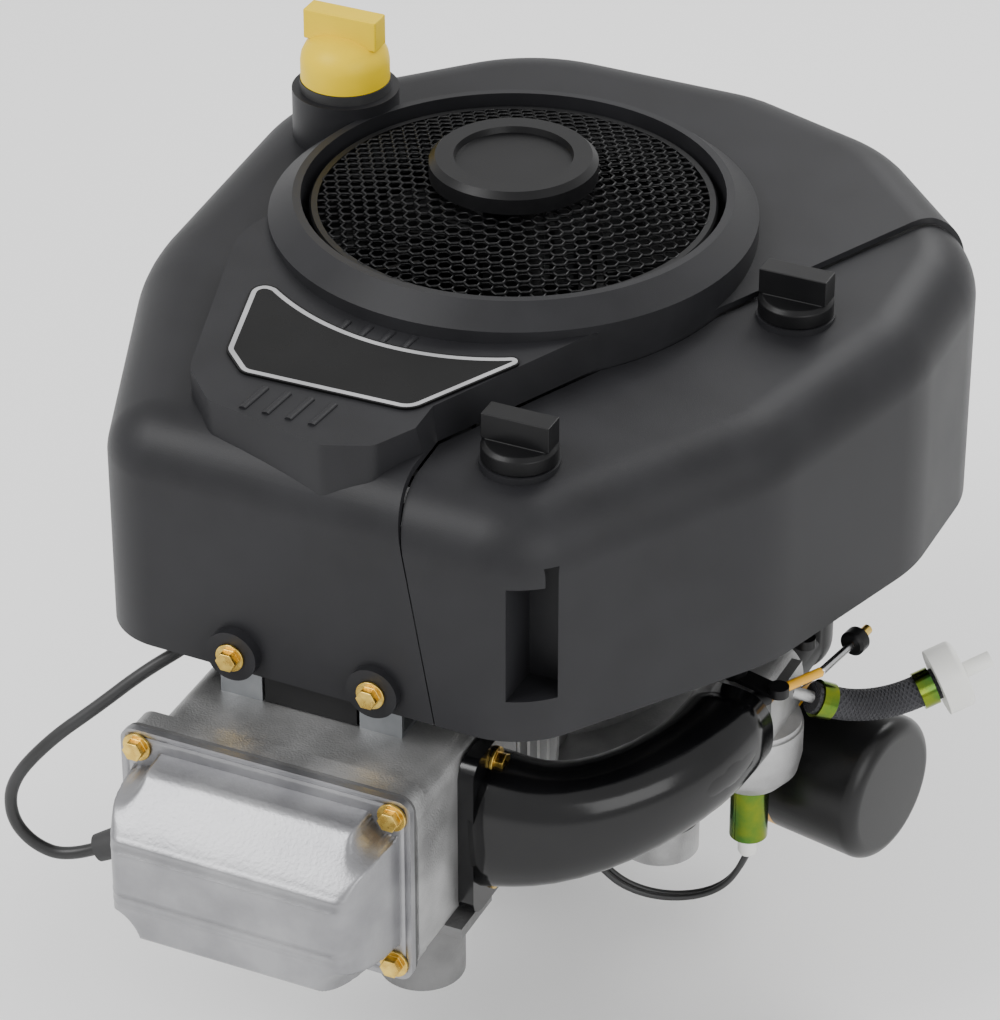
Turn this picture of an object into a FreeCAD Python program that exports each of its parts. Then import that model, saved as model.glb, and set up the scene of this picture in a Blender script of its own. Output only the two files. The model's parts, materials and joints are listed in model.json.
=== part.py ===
"""Vertical-shaft single-cylinder gasoline engine, built piece by piece in millimetres.

Origin: where the crankshaft axis meets the mounting face. +Z points up, to the cooling fan.
The cylinder points to -Y and the carburettor side is +X.
"""
import FreeCAD, Part
import math
import os
import re

import Sketcher
from FreeCAD import Placement, Rotation, Vector

# ---------------------------------------------------------------- driving sizes, kept in the sheet
SIZES = {
    # crank train
    "bore": 90, "stroke": 79, "rod_length": 110, "piston_crown": 30,
    "cylinder_height": 91, "deck_y": 180, "cylinder_wall": 8,
    "journal_radius": 17.5, "running_gap": 0.05, "web_radius": 56, "web_thickness": 16,
    "rod_width": 24, "pin_radius": 16, "web_gap": 0.5, "web_waist": 42,
    "pto_radius": 12.7, "pto_length": 80, "pto_key_width": 6.35, "pto_key_depth": 3.2,
    "pto_key_length": 40, "pto_tap_radius": 5, "pto_tap_depth": 25, "wall_gap": 0.3,
    "crank_top": 228, "taper_start": 168, "taper_end": 205, "taper_radius": 13, "stud_radius": 9,
    "wrist_radius": 10, "wrist_length": 74, "small_end_radius": 15, "big_end_radius": 24,
    "small_end_width": 22, "rod_thickness": 12, "rod_shank_width": 22, "skirt_length": 43,
    "piston_gap": 0.08, "piston_wall": 6, "ring_height": 2, "ring_step": 5, "ring_first": 6,
    "ring_depth": 3,
    # camshaft and timing gears
    "gear_module": 2, "crank_teeth": 24, "cam_teeth": 48, "gear_low": 27, "gear_width": 10,
    "cam_x": 56, "cam_shaft_radius": 7, "cam_base": 9, "cam_lift": 5, "lobe_width": 12,
    "cam_low": 5, "cam_high": 132, "gear_bore_radius": 17.5,
    # valve train
    "valve_x": -12, "pivot_x": 22, "pushrod_x": 54, "valve_step": 20, "pivot_y": 240,
    "nose_radius": 5, "rocker_gap": 0.3, "stem_radius": 3.5, "valve_radius": 17, "pushrod_radius": 3.5,
    "tappet_radius": 8, "tappet_length": 22, "rocker_height": 12, "rocker_pin": 4, "rocker_boss": 8,
    "rocker_thickness": 8, "valve_face_y": 190, "valve_lip": 3, "valve_cone": 9, "pushrod_foot_y": 60.5,
    "spring_radius": 11, "spring_wire": 1.6, "spring_high_y": 230, "spring_coils": 3,
    "retainer_thickness": 2.6,
    # sump and crankcase
    "sump_height": 50, "sump_radius": 112, "sump_wall": 6, "sump_floor": 8, "cam_bulge": 58,
    "foot_x": 110, "foot_y": 63.5, "foot_radius": 20, "foot_height": 18, "foot_hole": 5,
    "case_radius": 100, "case_top": 140, "case_roof": 8, "boss_radius": 30, "boss_top": 152,
    "boss_floor_top": 25, "seal_radius": 25, "seal_height": 8, "case_bolt_radius": 119.5,
    "bolt_lug_radius": 10, "flange_height": 10,
    # cylinder, fins and head
    "barrel_start": 70, "fin_count": 7, "fin_first": 98, "fin_pitch": 11.5, "fin_thickness": 3.2,
    "fin_left": 72, "fin_right": 70, "fin_low": 44, "fin_high": 138, "tunnel_width": 22,
    "gasket": 2, "head_end_y": 256, "head_left": 80, "head_right": 68, "head_low": 41, "head_high": 141,
    "rocker_box_depth": 34, "chamber_depth": 8, "port_radius": 15, "port_y": 205,
    # valve cover
    "cover_left": 81, "cover_right": 69, "cover_low": 40, "cover_high": 142, "cover_flange": 4,
    "cover_depth": 46, "dome_inset": 11, "dome_edge": 12, "cover_wall": 3,
    "cover_bolt_inset": 9, "rib_height": 1.6, "rib_width": 4, "rib_low": 74, "rib_high": 96,
    "corner_round": 8,
    # hex flange bolts
    "bolt_hex": 5.2, "bolt_flange": 7.2, "bolt_flange_thickness": 1.6, "bolt_head": 6,
    # blower housing and air cleaner
    "shroud_low": 155, "shroud_top": 291, "shroud_wall": 3, "shroud_round": 30, "top_slope": 4.6,
    "fan_opening": 103, "ring_radius": 119, "ring_low": 266, "ring_high": 314,
    "ring_step_height": 304, "ring_lip": 4,
    "plateau_top": 308, "plateau_slope": 5.2, "shroud_bolt_x": 36.5,
    "shroud_bolt_centre": -7, "shroud_bolt_z": 166,
    "lug_radius": 13, "lug_depth": 5, "front_face_y": 216, "cover_gap": 0.8, "cover_top": 287,
    "neck_x": -118, "neck_y": 55, "neck_radius": 27, "neck_low": 240, "neck_high": 320,
    "split_offset": 113, "split_angle": 60.3, "tray_top": 216, "tray_thickness": 4, "tray_inset": 9,
    "slot_left": 95, "slot_right": 115, "slot_low": 177, "slot_high": 238,
    "slot_front": 240, "snorkel_wall": 2, "snorkel_gap": 1, "snorkel_back": 189, "snorkel_top": 246,
    "riser_front": 206,
    "filter_height": 34, "filter_length": 180, "filter_width": 26, "filter_along": -22, "filter_across": 134,
    "knob_front_x": 79, "knob_front_y": -165, "knob_front_z": 276,
    "knob_rear_x": 151, "knob_rear_y": -9, "knob_rear_z": 288,
    "knob_radius": 18, "knob_disc": 9, "knob_grip": 13, "knob_grip_width": 12, "knob_stem": 5,
    "knob_stem_length": 8, "knob_lift": 0.3,
    # flywheel, fan and screen
    "flywheel_low": 176, "flywheel_radius": 101, "flywheel_rim": 24, "flywheel_hub": 26,
    "flywheel_web": 8, "ring_gear_inner": 101, "ring_gear_outer": 111, "ring_gear_width": 10,
    "ring_gear_teeth": 96, "ring_tooth": 2.2, "fan_low": 204, "fan_high": 272, "fan_disc": 4,
    "fan_blades": 20, "blade_inner": 46, "blade_outer": 97, "blade_thickness": 2.4, "blade_lean": 28,
    "screen_radius": 99, "screen_low": 272, "screen_edge": 309, "screen_top": 327, "screen_wall": 2,
    "cap_radius": 41, "cap_height": 10, "cap_rim": 12, "cap_recess": 3, "screen_seat": 30,
    # intake and carburettor
    "elbow_radius": 21, "elbow_wall": 3, "elbow_flange_thickness": 8, "carb_x": 160, "carb_y": -70,
    "carb_z": 110, "throat_radius": 16, "throat_length": 50, "throat_bore": 12, "bowl_radius": 25,
    "bowl_low": 60, "bowl_high": 94, "solenoid_radius": 9.5, "solenoid_low": 26, "connector_low": 14,
    "connector_radius": 5, "carb_block_length": 44, "carb_block_width": 34, "carb_block_height": 22,
    "horn_radius": 18, "horn_step": 2, "horn_y": -14, "intake_bolt_spacing": 66,
    "intake_bolt_y": 190, "intake_mid_z": 90, "lever_length": 26, "lever_thickness": 2, "lever_width": 10, "lever_pin": 3,
    "lever_offset": 15, "throttle_height": 128.5, "choke_height": 137,
    # fuel hose and filter
    "hose_radius": 8, "nipple_radius": 3, "fuel_filter_radius": 17, "fuel_filter_width": 14,
    "clamp_width": 8, "clamp_wall": 1.5, "filter_undercut": 1,
    # oil fill and oil filter
    "tube_radius": 11, "oil_cap_radius": 20, "oil_cap_height": 20, "oil_cap_grip": 16,
    "oil_cap_grip_width": 12, "dipstick_width": 8, "dipstick_length": 190,
    "dipstick_thickness": 2, "cap_seal_radius": 23, "cap_seal_height": 5,
    "filter_can_radius": 37.5, "filter_can_length": 58, "filter_x": 161, "filter_y": -12, "filter_z": 38,
    "filter_turn": -12, "adapter_radius": 24,
    # ignition, starter and controls
    "lead_radius": 3.2, "plug_radius": 6, "boot_radius": 9.5, "boot_length": 36,
    "wire_radius": 1.6,
    "starter_x": -76, "starter_y": 105, "starter_radius": 30, "starter_low": 62, "starter_high": 172,
    "pinion_teeth": 12, "pinion_width": 14, "pinion_low": 158, "starter_shaft": 6,
    "coil_turn": 245, "coil_start": 104, "coil_length": 44, "coil_width": 36, "coil_height": 30,
    "coil_low": 178,
    "outlet_x": 46, "outlet_y": -178, "outlet_radius": 21, "outlet_bore": 15, "outlet_low": 2,
    "control_x": 196, "control_y": 16, "control_z": 148,
}

doc = FreeCAD.newDocument("Engine")
sheet = doc.addObject("Spreadsheet::Sheet", "Size")
for row, (word, number) in enumerate(SIZES.items(), start=1):
    sheet.set("A%d" % row, word)
    sheet.set("B%d" % row, str(number))
    sheet.setAlias("B%d" % row, word)
doc.recompute()

WORDS = re.compile(r"[a-z][a-z_]*")
FUNCTIONS = {"sin", "cos", "sqrt"}
counter = {}
pieces = []


def size(word):
    """One driving size, read from the sheet."""
    return float(getattr(sheet, word))


def formula(text):
    """Write the sheet's name before each of its words, so that an object can be bound to it."""
    def named(match):
        word = match.group(0)
        return word if word in FUNCTIONS else "Size." + word
    return WORDS.sub(named, str(text))


def number(text):
    """What a formula of the sheet's words comes to."""
    result = sheet.evalExpression(formula(text))
    return float(getattr(result, "Value", result))


def fresh(kind):
    """A new object name such as Box3."""
    counter[kind] = counter.get(kind, 0) + 1
    return "%s%d" % (kind, counter[kind])


def bind(thing, **formulas):
    for name, text in formulas.items():
        thing.setExpression(name, formula(text))
    return thing


TURNS = {
    "z": Rotation(),
    "-z": Rotation(Vector(1, 0, 0), 180),
    "x": Rotation(Vector(0, 1, 0), 90),
    "-x": Rotation(Vector(0, 1, 0), -90),
    "y": Rotation(Vector(1, 0, 0), -90),
    "-y": Rotation(Vector(1, 0, 0), 90),
}


def place(thing, at, along="z"):
    """Turn a thing's own Z along a named axis or a vector, and bind its place to formulas."""
    turn = TURNS[along] if isinstance(along, str) else Rotation(Vector(0, 0, 1), Vector(*along))
    thing.Placement = Placement(Vector(*[number(step) for step in at]), turn)
    for axis, step in zip("xyz", at):
        thing.setExpression("Placement.Base." + axis, formula(step))
    return thing


def box(low, high):
    """A box between two corners, each given as three formulas."""
    thing = doc.addObject("Part::Box", fresh("Box"))
    spans = ["(%s) - (%s)" % (top, bottom) for bottom, top in zip(low, high)]
    bind(thing, Length=spans[0], Width=spans[1], Height=spans[2])
    return place(thing, low)


def rod(radius, length, at=(0, 0, 0), along="z"):
    thing = doc.addObject("Part::Cylinder", fresh("Cylinder"))
    bind(thing, Radius=radius, Height=length)
    return place(thing, at, along)


def cone(first, second, length, at=(0, 0, 0), along="z"):
    thing = doc.addObject("Part::Cone", fresh("Cone"))
    bind(thing, Radius1=first, Radius2=second, Height=length)
    return place(thing, at, along)


def ring(major, minor, at=(0, 0, 0), along="z"):
    thing = doc.addObject("Part::Torus", fresh("Torus"))
    bind(thing, Radius1=major, Radius2=minor)
    return place(thing, at, along)


def prism(corners, radius, length, at=(0, 0, 0), along="z"):
    thing = doc.addObject("Part::Prism", fresh("Prism"))
    thing.Polygon = corners
    bind(thing, Circumradius=radius, Height=length)
    return place(thing, at, along)


def fuse(*parts):
    thing = doc.addObject("Part::MultiFuse", fresh("Fuse"))
    thing.Shapes = list(parts)
    thing.Refine = True
    return thing


def cut(base, *tools):
    thing = doc.addObject("Part::Cut", fresh("Cut"))
    thing.Base = base
    thing.Tool = tools[0] if len(tools) == 1 else fuse(*tools)
    return thing


def common(first, second):
    thing = doc.addObject("Part::Common", fresh("Common"))
    thing.Base = first
    thing.Tool = second
    return thing


def group(*parts):
    """Separate solids that share one node."""
    thing = doc.addObject("Part::Compound", fresh("Group"))
    thing.Links = list(parts)
    return thing


def made(shape):
    """A free-form piece whose shape comes from Part's own functions."""
    thing = doc.addObject("Part::Feature", fresh("Shape"))
    thing.Shape = shape
    return thing


def piece(label, thing):
    """Name a finished sub-part: its label is its file's name."""
    thing.Label = label
    pieces.append(thing)
    return thing


# ---------------------------------------------------------------- PartDesign helpers
def plane_of(body, role):
    return [entry for entry in body.Origin.OriginFeatures if entry.Role == role][0]


def sketch_loops(body, role, loops):
    """A sketch of closed straight loops, with each corner tied to the sheet by its two distances."""
    sketch = body.newObject("Sketcher::SketchObject", fresh("Sketch"))
    sketch.AttachmentSupport = [(plane_of(body, role), "")]
    sketch.MapMode = "FlatFace"
    for loop in loops:
        first = sketch.GeometryCount
        corners = [Vector(number(across), number(up), 0) for across, up in loop]
        for start, end in zip(corners, corners[1:] + corners[:1]):
            sketch.addGeometry(Part.LineSegment(start, end), False)
        for index, (across, up) in enumerate(loop):
            edge = first + index
            following = first + (index + 1) % len(loop)
            sketch.addConstraint(Sketcher.Constraint("Coincident", edge, 2, following, 1))
            for kind, text in (("DistanceX", across), ("DistanceY", up)):
                spot = sketch.addConstraint(Sketcher.Constraint(kind, -1, 1, edge, 1, number(text)))
                sketch.setExpression("Constraints[%d]" % spot, formula(text))
    return sketch


def sketch_circles(body, role, circles):
    """A sketch of circles, each (radius, across, up), tied to the sheet."""
    sketch = body.newObject("Sketcher::SketchObject", fresh("Sketch"))
    sketch.AttachmentSupport = [(plane_of(body, role), "")]
    sketch.MapMode = "FlatFace"
    for radius, across, up in circles:
        centre = Vector(number(across), number(up), 0)
        spot = sketch.addGeometry(Part.Circle(centre, Vector(0, 0, 1), number(radius)), False)
        rules = (("Radius", (spot,), radius),
                 ("DistanceX", (-1, 1, spot, 3), across),
                 ("DistanceY", (-1, 1, spot, 3), up))
        for kind, where, text in rules:
            row = sketch.addConstraint(Sketcher.Constraint(kind, *where, number(text)))
            sketch.setExpression("Constraints[%d]" % row, formula(text))
    return sketch


def turned(profile, at=(0, 0, 0), along="z"):
    """A PartDesign body turned about its own Z from a profile of (radius, height) corners."""
    body = doc.addObject("PartDesign::Body", fresh("Body"))
    sketch = sketch_loops(body, "XZ_Plane", [profile])
    spin = body.newObject("PartDesign::Revolution", fresh("Revolution"))
    spin.Profile = sketch
    spin.ReferenceAxis = (sketch, ["V_Axis"])
    spin.Angle = 360
    body.Tip = spin
    return place(body, at, along)


def padded(loops, length, at=(0, 0, 0), along="z"):
    """A PartDesign body padded along its own Z from straight loops."""
    body = doc.addObject("PartDesign::Body", fresh("Body"))
    pad = body.newObject("PartDesign::Pad", fresh("Pad"))
    pad.Profile = sketch_loops(body, "XY_Plane", loops)
    bind(pad, Length=length)
    body.Tip = pad
    return place(body, at, along)


def disc_with_holes(circles, length, at=(0, 0, 0), along="z"):
    """A PartDesign body padded from one outer circle and any circles inside it."""
    body = doc.addObject("PartDesign::Body", fresh("Body"))
    pad = body.newObject("PartDesign::Pad", fresh("Pad"))
    pad.Profile = sketch_circles(body, "XY_Plane", circles)
    bind(pad, Length=length)
    body.Tip = pad
    return place(body, at, along)


# ---------------------------------------------------------------- free-form helpers
def rounded_wire(corners, height):
    """A closed wire at one height through (x, y, radius) corners, each rounded by its own arc."""
    spots = [Vector(x, y, height) for x, y, _ in corners]
    edges = []
    ends = []
    for index, (_, _, radius) in enumerate(corners):
        here = spots[index]
        back = (spots[index - 1] - here).normalize()
        ahead = (spots[(index + 1) % len(spots)] - here).normalize()
        half = back.getAngle(ahead) / 2
        reach = radius / math.tan(half)
        middle = here + (back + ahead).normalize() * (radius / math.sin(half) - radius)
        ends.append((here + back * reach, middle, here + ahead * reach))
    for index, (start, middle, end) in enumerate(ends):
        edges.append(Part.Arc(start, middle, end).toShape())
        edges.append(Part.LineSegment(end, ends[(index + 1) % len(ends)][0]).toShape())
    return Part.Wire(edges)


def rounded_prism(corners, low, high):
    return Part.Face(rounded_wire(corners, low)).extrude(Vector(0, 0, high - low))


def cord_path(route):
    """Straight runs joined by tangent arcs, each as large as its two runs allow."""
    spots = [Vector(*point) for point in route]
    edges = []
    radii = []
    last = spots[0]
    for before, here, after in zip(spots, spots[1:], spots[2:]):
        back = before - here
        ahead = after - here
        shorter = min(back.Length, ahead.Length)
        turn = math.pi - back.getAngle(ahead)
        reach = 0.45 * shorter
        radii.append(reach / math.tan(turn / 2))
        start = here + back.normalize() * reach
        end = here + ahead.normalize() * reach
        bisector = (back + ahead).normalize()
        drop = radii[-1] / math.cos(turn / 2) - radii[-1]
        edges.append(Part.LineSegment(last, start).toShape())
        edges.append(Part.Arc(start, here + bisector * drop, end).toShape())
        last = end
    edges.append(Part.LineSegment(last, spots[-1]).toShape())
    return Part.Wire(edges), radii


def tube_along(route, radius, name):
    """A round solid along a route, with its length and bend radii printed."""
    path, radii = cord_path(route)
    start = Vector(*route[0])
    heading = (Vector(*route[1]) - start).normalize()
    section = Part.Wire([Part.Circle(start, heading, radius).toShape()])
    solid = path.makePipeShell([section], True, False)
    print("%s length %.1f radii %s volume ratio %.4f" % (
        name, path.Length, [round(one, 1) for one in radii],
        solid.Volume / (math.pi * radius ** 2 * path.Length)))
    return solid


def gear_shape(teeth, module, width, phase, bore):
    """A spur gear with straight-flanked teeth, thin enough at the pitch line to run with backlash."""
    pitch = teeth * module / 2
    levels = ((pitch - 1.15 * module, 0.56), (pitch, 0.42), (pitch + 0.8 * module, 0.24))
    corners = []
    step = 2 * math.pi / teeth
    for tooth in range(teeth):
        centre = phase + tooth * step
        flank = [(radius, share * step / 2) for radius, share in levels]
        for radius, half in flank:
            corners.append(Vector(radius * math.cos(centre - half), radius * math.sin(centre - half), 0))
        for radius, half in reversed(flank):
            corners.append(Vector(radius * math.cos(centre + half), radius * math.sin(centre + half), 0))
    outline = Part.makePolygon(corners + corners[:1])
    solid = Part.Face(outline).extrude(Vector(0, 0, width))
    return solid.cut(Part.makeCylinder(bore, width))


# ================================================================ crank train
def add_crankshaft():
    low_web = "cylinder_height - rod_width/2 - web_gap - web_thickness"
    high_web = "cylinder_height + rod_width/2 + web_gap"
    lower = turned([
        (0, "-pto_length"), ("pto_radius", "-pto_length"), ("pto_radius", -2),
        ("journal_radius", 0), ("journal_radius", low_web), (0, low_web)])
    upper = turned([
        (0, high_web), ("journal_radius", high_web), ("journal_radius", "taper_start"),
        ("taper_radius", "taper_end"), ("stud_radius", "taper_end"), ("stud_radius", "crank_top"),
        (0, "crank_top")])
    webs = []
    for level in (low_web, high_web):
        disc = rod("web_radius", "web_thickness", (0, 0, level))
        sides = [box(("%d*web_waist - %d*10" % (side, 1 if side < 0 else 0), "-web_radius", level),
                     ("%d*web_waist + %d*30" % (side, 1 if side > 0 else 0), 0, level + " + web_thickness"))
                 for side in (-1, 1)]
        webs.append(cut(disc, *sides))
    keyway = box(("-pto_key_width/2", "-pto_radius - 1", "-pto_length"),
                 ("pto_key_width/2", "-pto_radius + pto_key_depth", "-pto_length + pto_key_length"))
    tap = rod("pto_tap_radius", "pto_tap_depth", (0, 0, "-pto_length"))
    shaft = fuse(lower, upper, *webs)
    return piece("crankshaft", cut(shaft, keyway, tap))


def add_piston_group():
    pin_y = "-stroke/2"
    wrist_y = "-stroke/2 - rod_length"
    crown_y = "-stroke/2 - rod_length - piston_crown"
    radius = "bore/2 - piston_gap"
    blank = rod(radius, "skirt_length", (0, crown_y, "cylinder_height"), "y")
    hollow = rod("bore/2 - piston_wall", "skirt_length", (0, crown_y + " + 9", "cylinder_height"), "y")
    bosses = [box(("-wrist_radius - 6", crown_y + " + 8", low), ("wrist_radius + 6", wrist_y + " + 12", high))
              for low, high in (("cylinder_height - bore/2 + 5", "cylinder_height - small_end_width/2 - 1"),
                                ("cylinder_height + small_end_width/2 + 1", "cylinder_height + bore/2 - 5"))]
    shell = fuse(cut(blank, hollow), *bosses)
    pin_hole = rod("wrist_radius", "bore", (0, wrist_y, "cylinder_height - bore/2"))
    grooves = []
    rings = []
    for index in range(3):
        start = "%s + ring_first + %d*ring_step" % (crown_y, index)
        outer = rod("bore/2 + 1", "ring_height", (0, start, "cylinder_height"), "y")
        inner = rod("bore/2 - ring_depth", "ring_height", (0, start, "cylinder_height"), "y")
        grooves.append(cut(outer, inner))
        rings.append(disc_with_holes([("bore/2 - 0.03", 0, 0), ("bore/2 - ring_depth", 0, 0)],
                                     "ring_height", (0, start, "cylinder_height"), "y"))
    piece("piston", cut(shell, pin_hole, *grooves))
    piece("piston_rings", group(*rings))
    piece("wrist_pin", disc_with_holes([("wrist_radius", 0, 0), ("wrist_radius/2", 0, 0)], "wrist_length",
                                       (0, wrist_y, "cylinder_height - wrist_length/2")))
    small_end = rod("small_end_radius", "small_end_width",
                    (0, wrist_y, "cylinder_height - small_end_width/2"))
    big_end = rod("big_end_radius", "rod_width", (0, pin_y, "cylinder_height - rod_width/2"))
    shank = box(("-rod_shank_width/2", wrist_y, "cylinder_height - rod_thickness/2"),
                ("rod_shank_width/2", pin_y, "cylinder_height + rod_thickness/2"))
    small_hole = rod("wrist_radius", "small_end_width", (0, wrist_y, "cylinder_height - small_end_width/2"))
    big_hole = rod("pin_radius", "rod_width", (0, pin_y, "cylinder_height - rod_width/2"))
    whole_rod = cut(fuse(small_end, big_end, shank), small_hole, big_hole)
    piece("connecting_rod", whole_rod)
    piece("crankpin", rod("pin_radius", "rod_width + web_gap",
                          (0, pin_y, "cylinder_height - rod_width/2 - web_gap/2")))


def cam_place():
    reach = size("gear_module") * (size("crank_teeth") + size("cam_teeth")) / 2
    return size("cam_x"), -math.sqrt(reach ** 2 - size("cam_x") ** 2)


def add_timing():
    x, y = cam_place()
    toward = math.atan2(y, x)
    width = size("gear_width")
    low = size("gear_low")
    module = size("gear_module")
    small = gear_shape(int(size("crank_teeth")), module, width, toward, size("gear_bore_radius"))
    small.translate(Vector(0, 0, low))
    piece("crank_gear", made(small))
    teeth = int(size("cam_teeth"))
    half_tooth = math.pi / teeth
    large = gear_shape(teeth, module, width, toward + math.pi + half_tooth, size("cam_shaft_radius"))
    large.translate(Vector(x, y, low))
    shaft = Part.makeCylinder(size("cam_shaft_radius"), size("cam_high") - size("cam_low"),
                              Vector(x, y, size("cam_low")))
    for side, turn in ((-1, 200), (1, 95)):
        level = size("cylinder_height") + side * size("valve_step") - size("lobe_width") / 2
        base = Part.makeCylinder(size("cam_base"), size("lobe_width"), Vector(x, y, level))
        tip_radius = size("cam_base") / 2
        shift = size("cam_base") + size("cam_lift") - tip_radius
        heading = Vector(math.cos(math.radians(turn)), math.sin(math.radians(turn)), 0)
        tip = Part.makeCylinder(tip_radius, size("lobe_width"), Vector(x, y, level) + heading * shift)
        shaft = shaft.fuse(base).fuse(tip)
    piece("camshaft", made(shaft.fuse(large).removeSplitter()))


# ================================================================ sump and block
def add_sump():
    x, y = cam_place()
    floor = size("sump_floor")
    height = size("sump_height")
    wall = size("sump_wall")
    outer = Part.makeCylinder(size("sump_radius"), height)
    outer = outer.fuse(Part.makeCylinder(size("cam_bulge"), height, Vector(x, y, 0)))
    inner = Part.makeCylinder(size("sump_radius") - wall, height, Vector(0, 0, floor))
    inner = inner.fuse(Part.makeCylinder(size("cam_bulge") - wall, height, Vector(x, y, floor)))
    shell = outer.cut(inner)
    bearing = Part.makeCylinder(size("boss_radius"), size("boss_floor_top"))
    cam_boss = Part.makeCylinder(size("cam_shaft_radius") + 5, floor + 12, Vector(x, y, 0))
    body = shell.fuse(bearing).fuse(cam_boss)
    for across in (-1, 1):
        for along in (-1, 1):
            spot = Vector(across * size("foot_x"), along * size("foot_y"), 0)
            body = body.fuse(Part.makeCylinder(size("foot_radius"), size("foot_height"), spot))
    lug_low = height - size("flange_height")
    for turn in case_bolt_turns():
        body = body.fuse(Part.makeCylinder(size("bolt_lug_radius"), size("flange_height"),
                                           Vector(0, 0, lug_low) + case_bolt_spot(turn)))
    body = body.cut(inner.cut(bearing).cut(cam_boss).cut(lug_ring(lug_low)))
    shaft_hole = Part.makeCylinder(size("journal_radius") + size("running_gap"), size("boss_floor_top"))
    seal_seat = Part.makeCylinder(size("seal_radius"), size("seal_height"))
    cam_hole = Part.makeCylinder(size("cam_shaft_radius") + size("running_gap"), floor + 20,
                                 Vector(x, y, size("cam_low") - size("wall_gap")))
    body = body.cut(shaft_hole).cut(seal_seat).cut(cam_hole)
    for across in (-1, 1):
        for along in (-1, 1):
            spot = Vector(across * size("foot_x"), along * size("foot_y"), 0)
            body = body.cut(Part.makeCylinder(size("foot_hole"), size("foot_height"), spot))
    barrel = Part.makeCylinder(size("bore") / 2 + size("cylinder_wall"), size("deck_y") - size("barrel_start"),
                               Vector(0, -size("deck_y"), size("cylinder_height")), Vector(0, 1, 0))
    body = body.cut(barrel).fuse(filter_adapter())
    piece("sump", made(body.removeSplitter()))


def case_bolt_turns():
    """Directions of the bolts that hold the sump to the crankcase, clear of the cam gear."""
    return (25, 62, 118, 172, 205, 238)


def case_bolt_spot(turn):
    radius = size("case_bolt_radius")
    return Vector(radius * math.cos(math.radians(turn)), radius * math.sin(math.radians(turn)), 0)


def lug_ring(low):
    lugs = [Part.makeCylinder(size("bolt_lug_radius"), size("flange_height"),
                              Vector(0, 0, low) + case_bolt_spot(turn)) for turn in case_bolt_turns()]
    return lugs[0].multiFuse(lugs[1:])


def filter_place():
    """Where the oil filter's open end meets its boss, and the way the filter points."""
    turn = math.radians(size("filter_turn"))
    near = Vector(size("filter_x"), size("filter_y"), size("filter_z"))
    return near, Vector(math.cos(turn), math.sin(turn), 0)


def filter_adapter():
    """The boss on the sump that the oil filter screws on to, below the crankcase joint."""
    near, heading = filter_place()
    reach = 70
    boss = Part.makeCylinder(size("adapter_radius"), reach, near - heading * reach, heading)
    x, y = cam_place()
    inside = Part.makeCylinder(size("sump_radius") - 1, size("sump_height"))
    inside = inside.fuse(Part.makeCylinder(size("cam_bulge") - 1, size("sump_height"), Vector(x, y, 0)))
    above = Part.makeBox(300, 300, 100, Vector(0, -150, size("sump_height")))
    return biggest(boss.cut(inside).cut(above))


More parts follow.
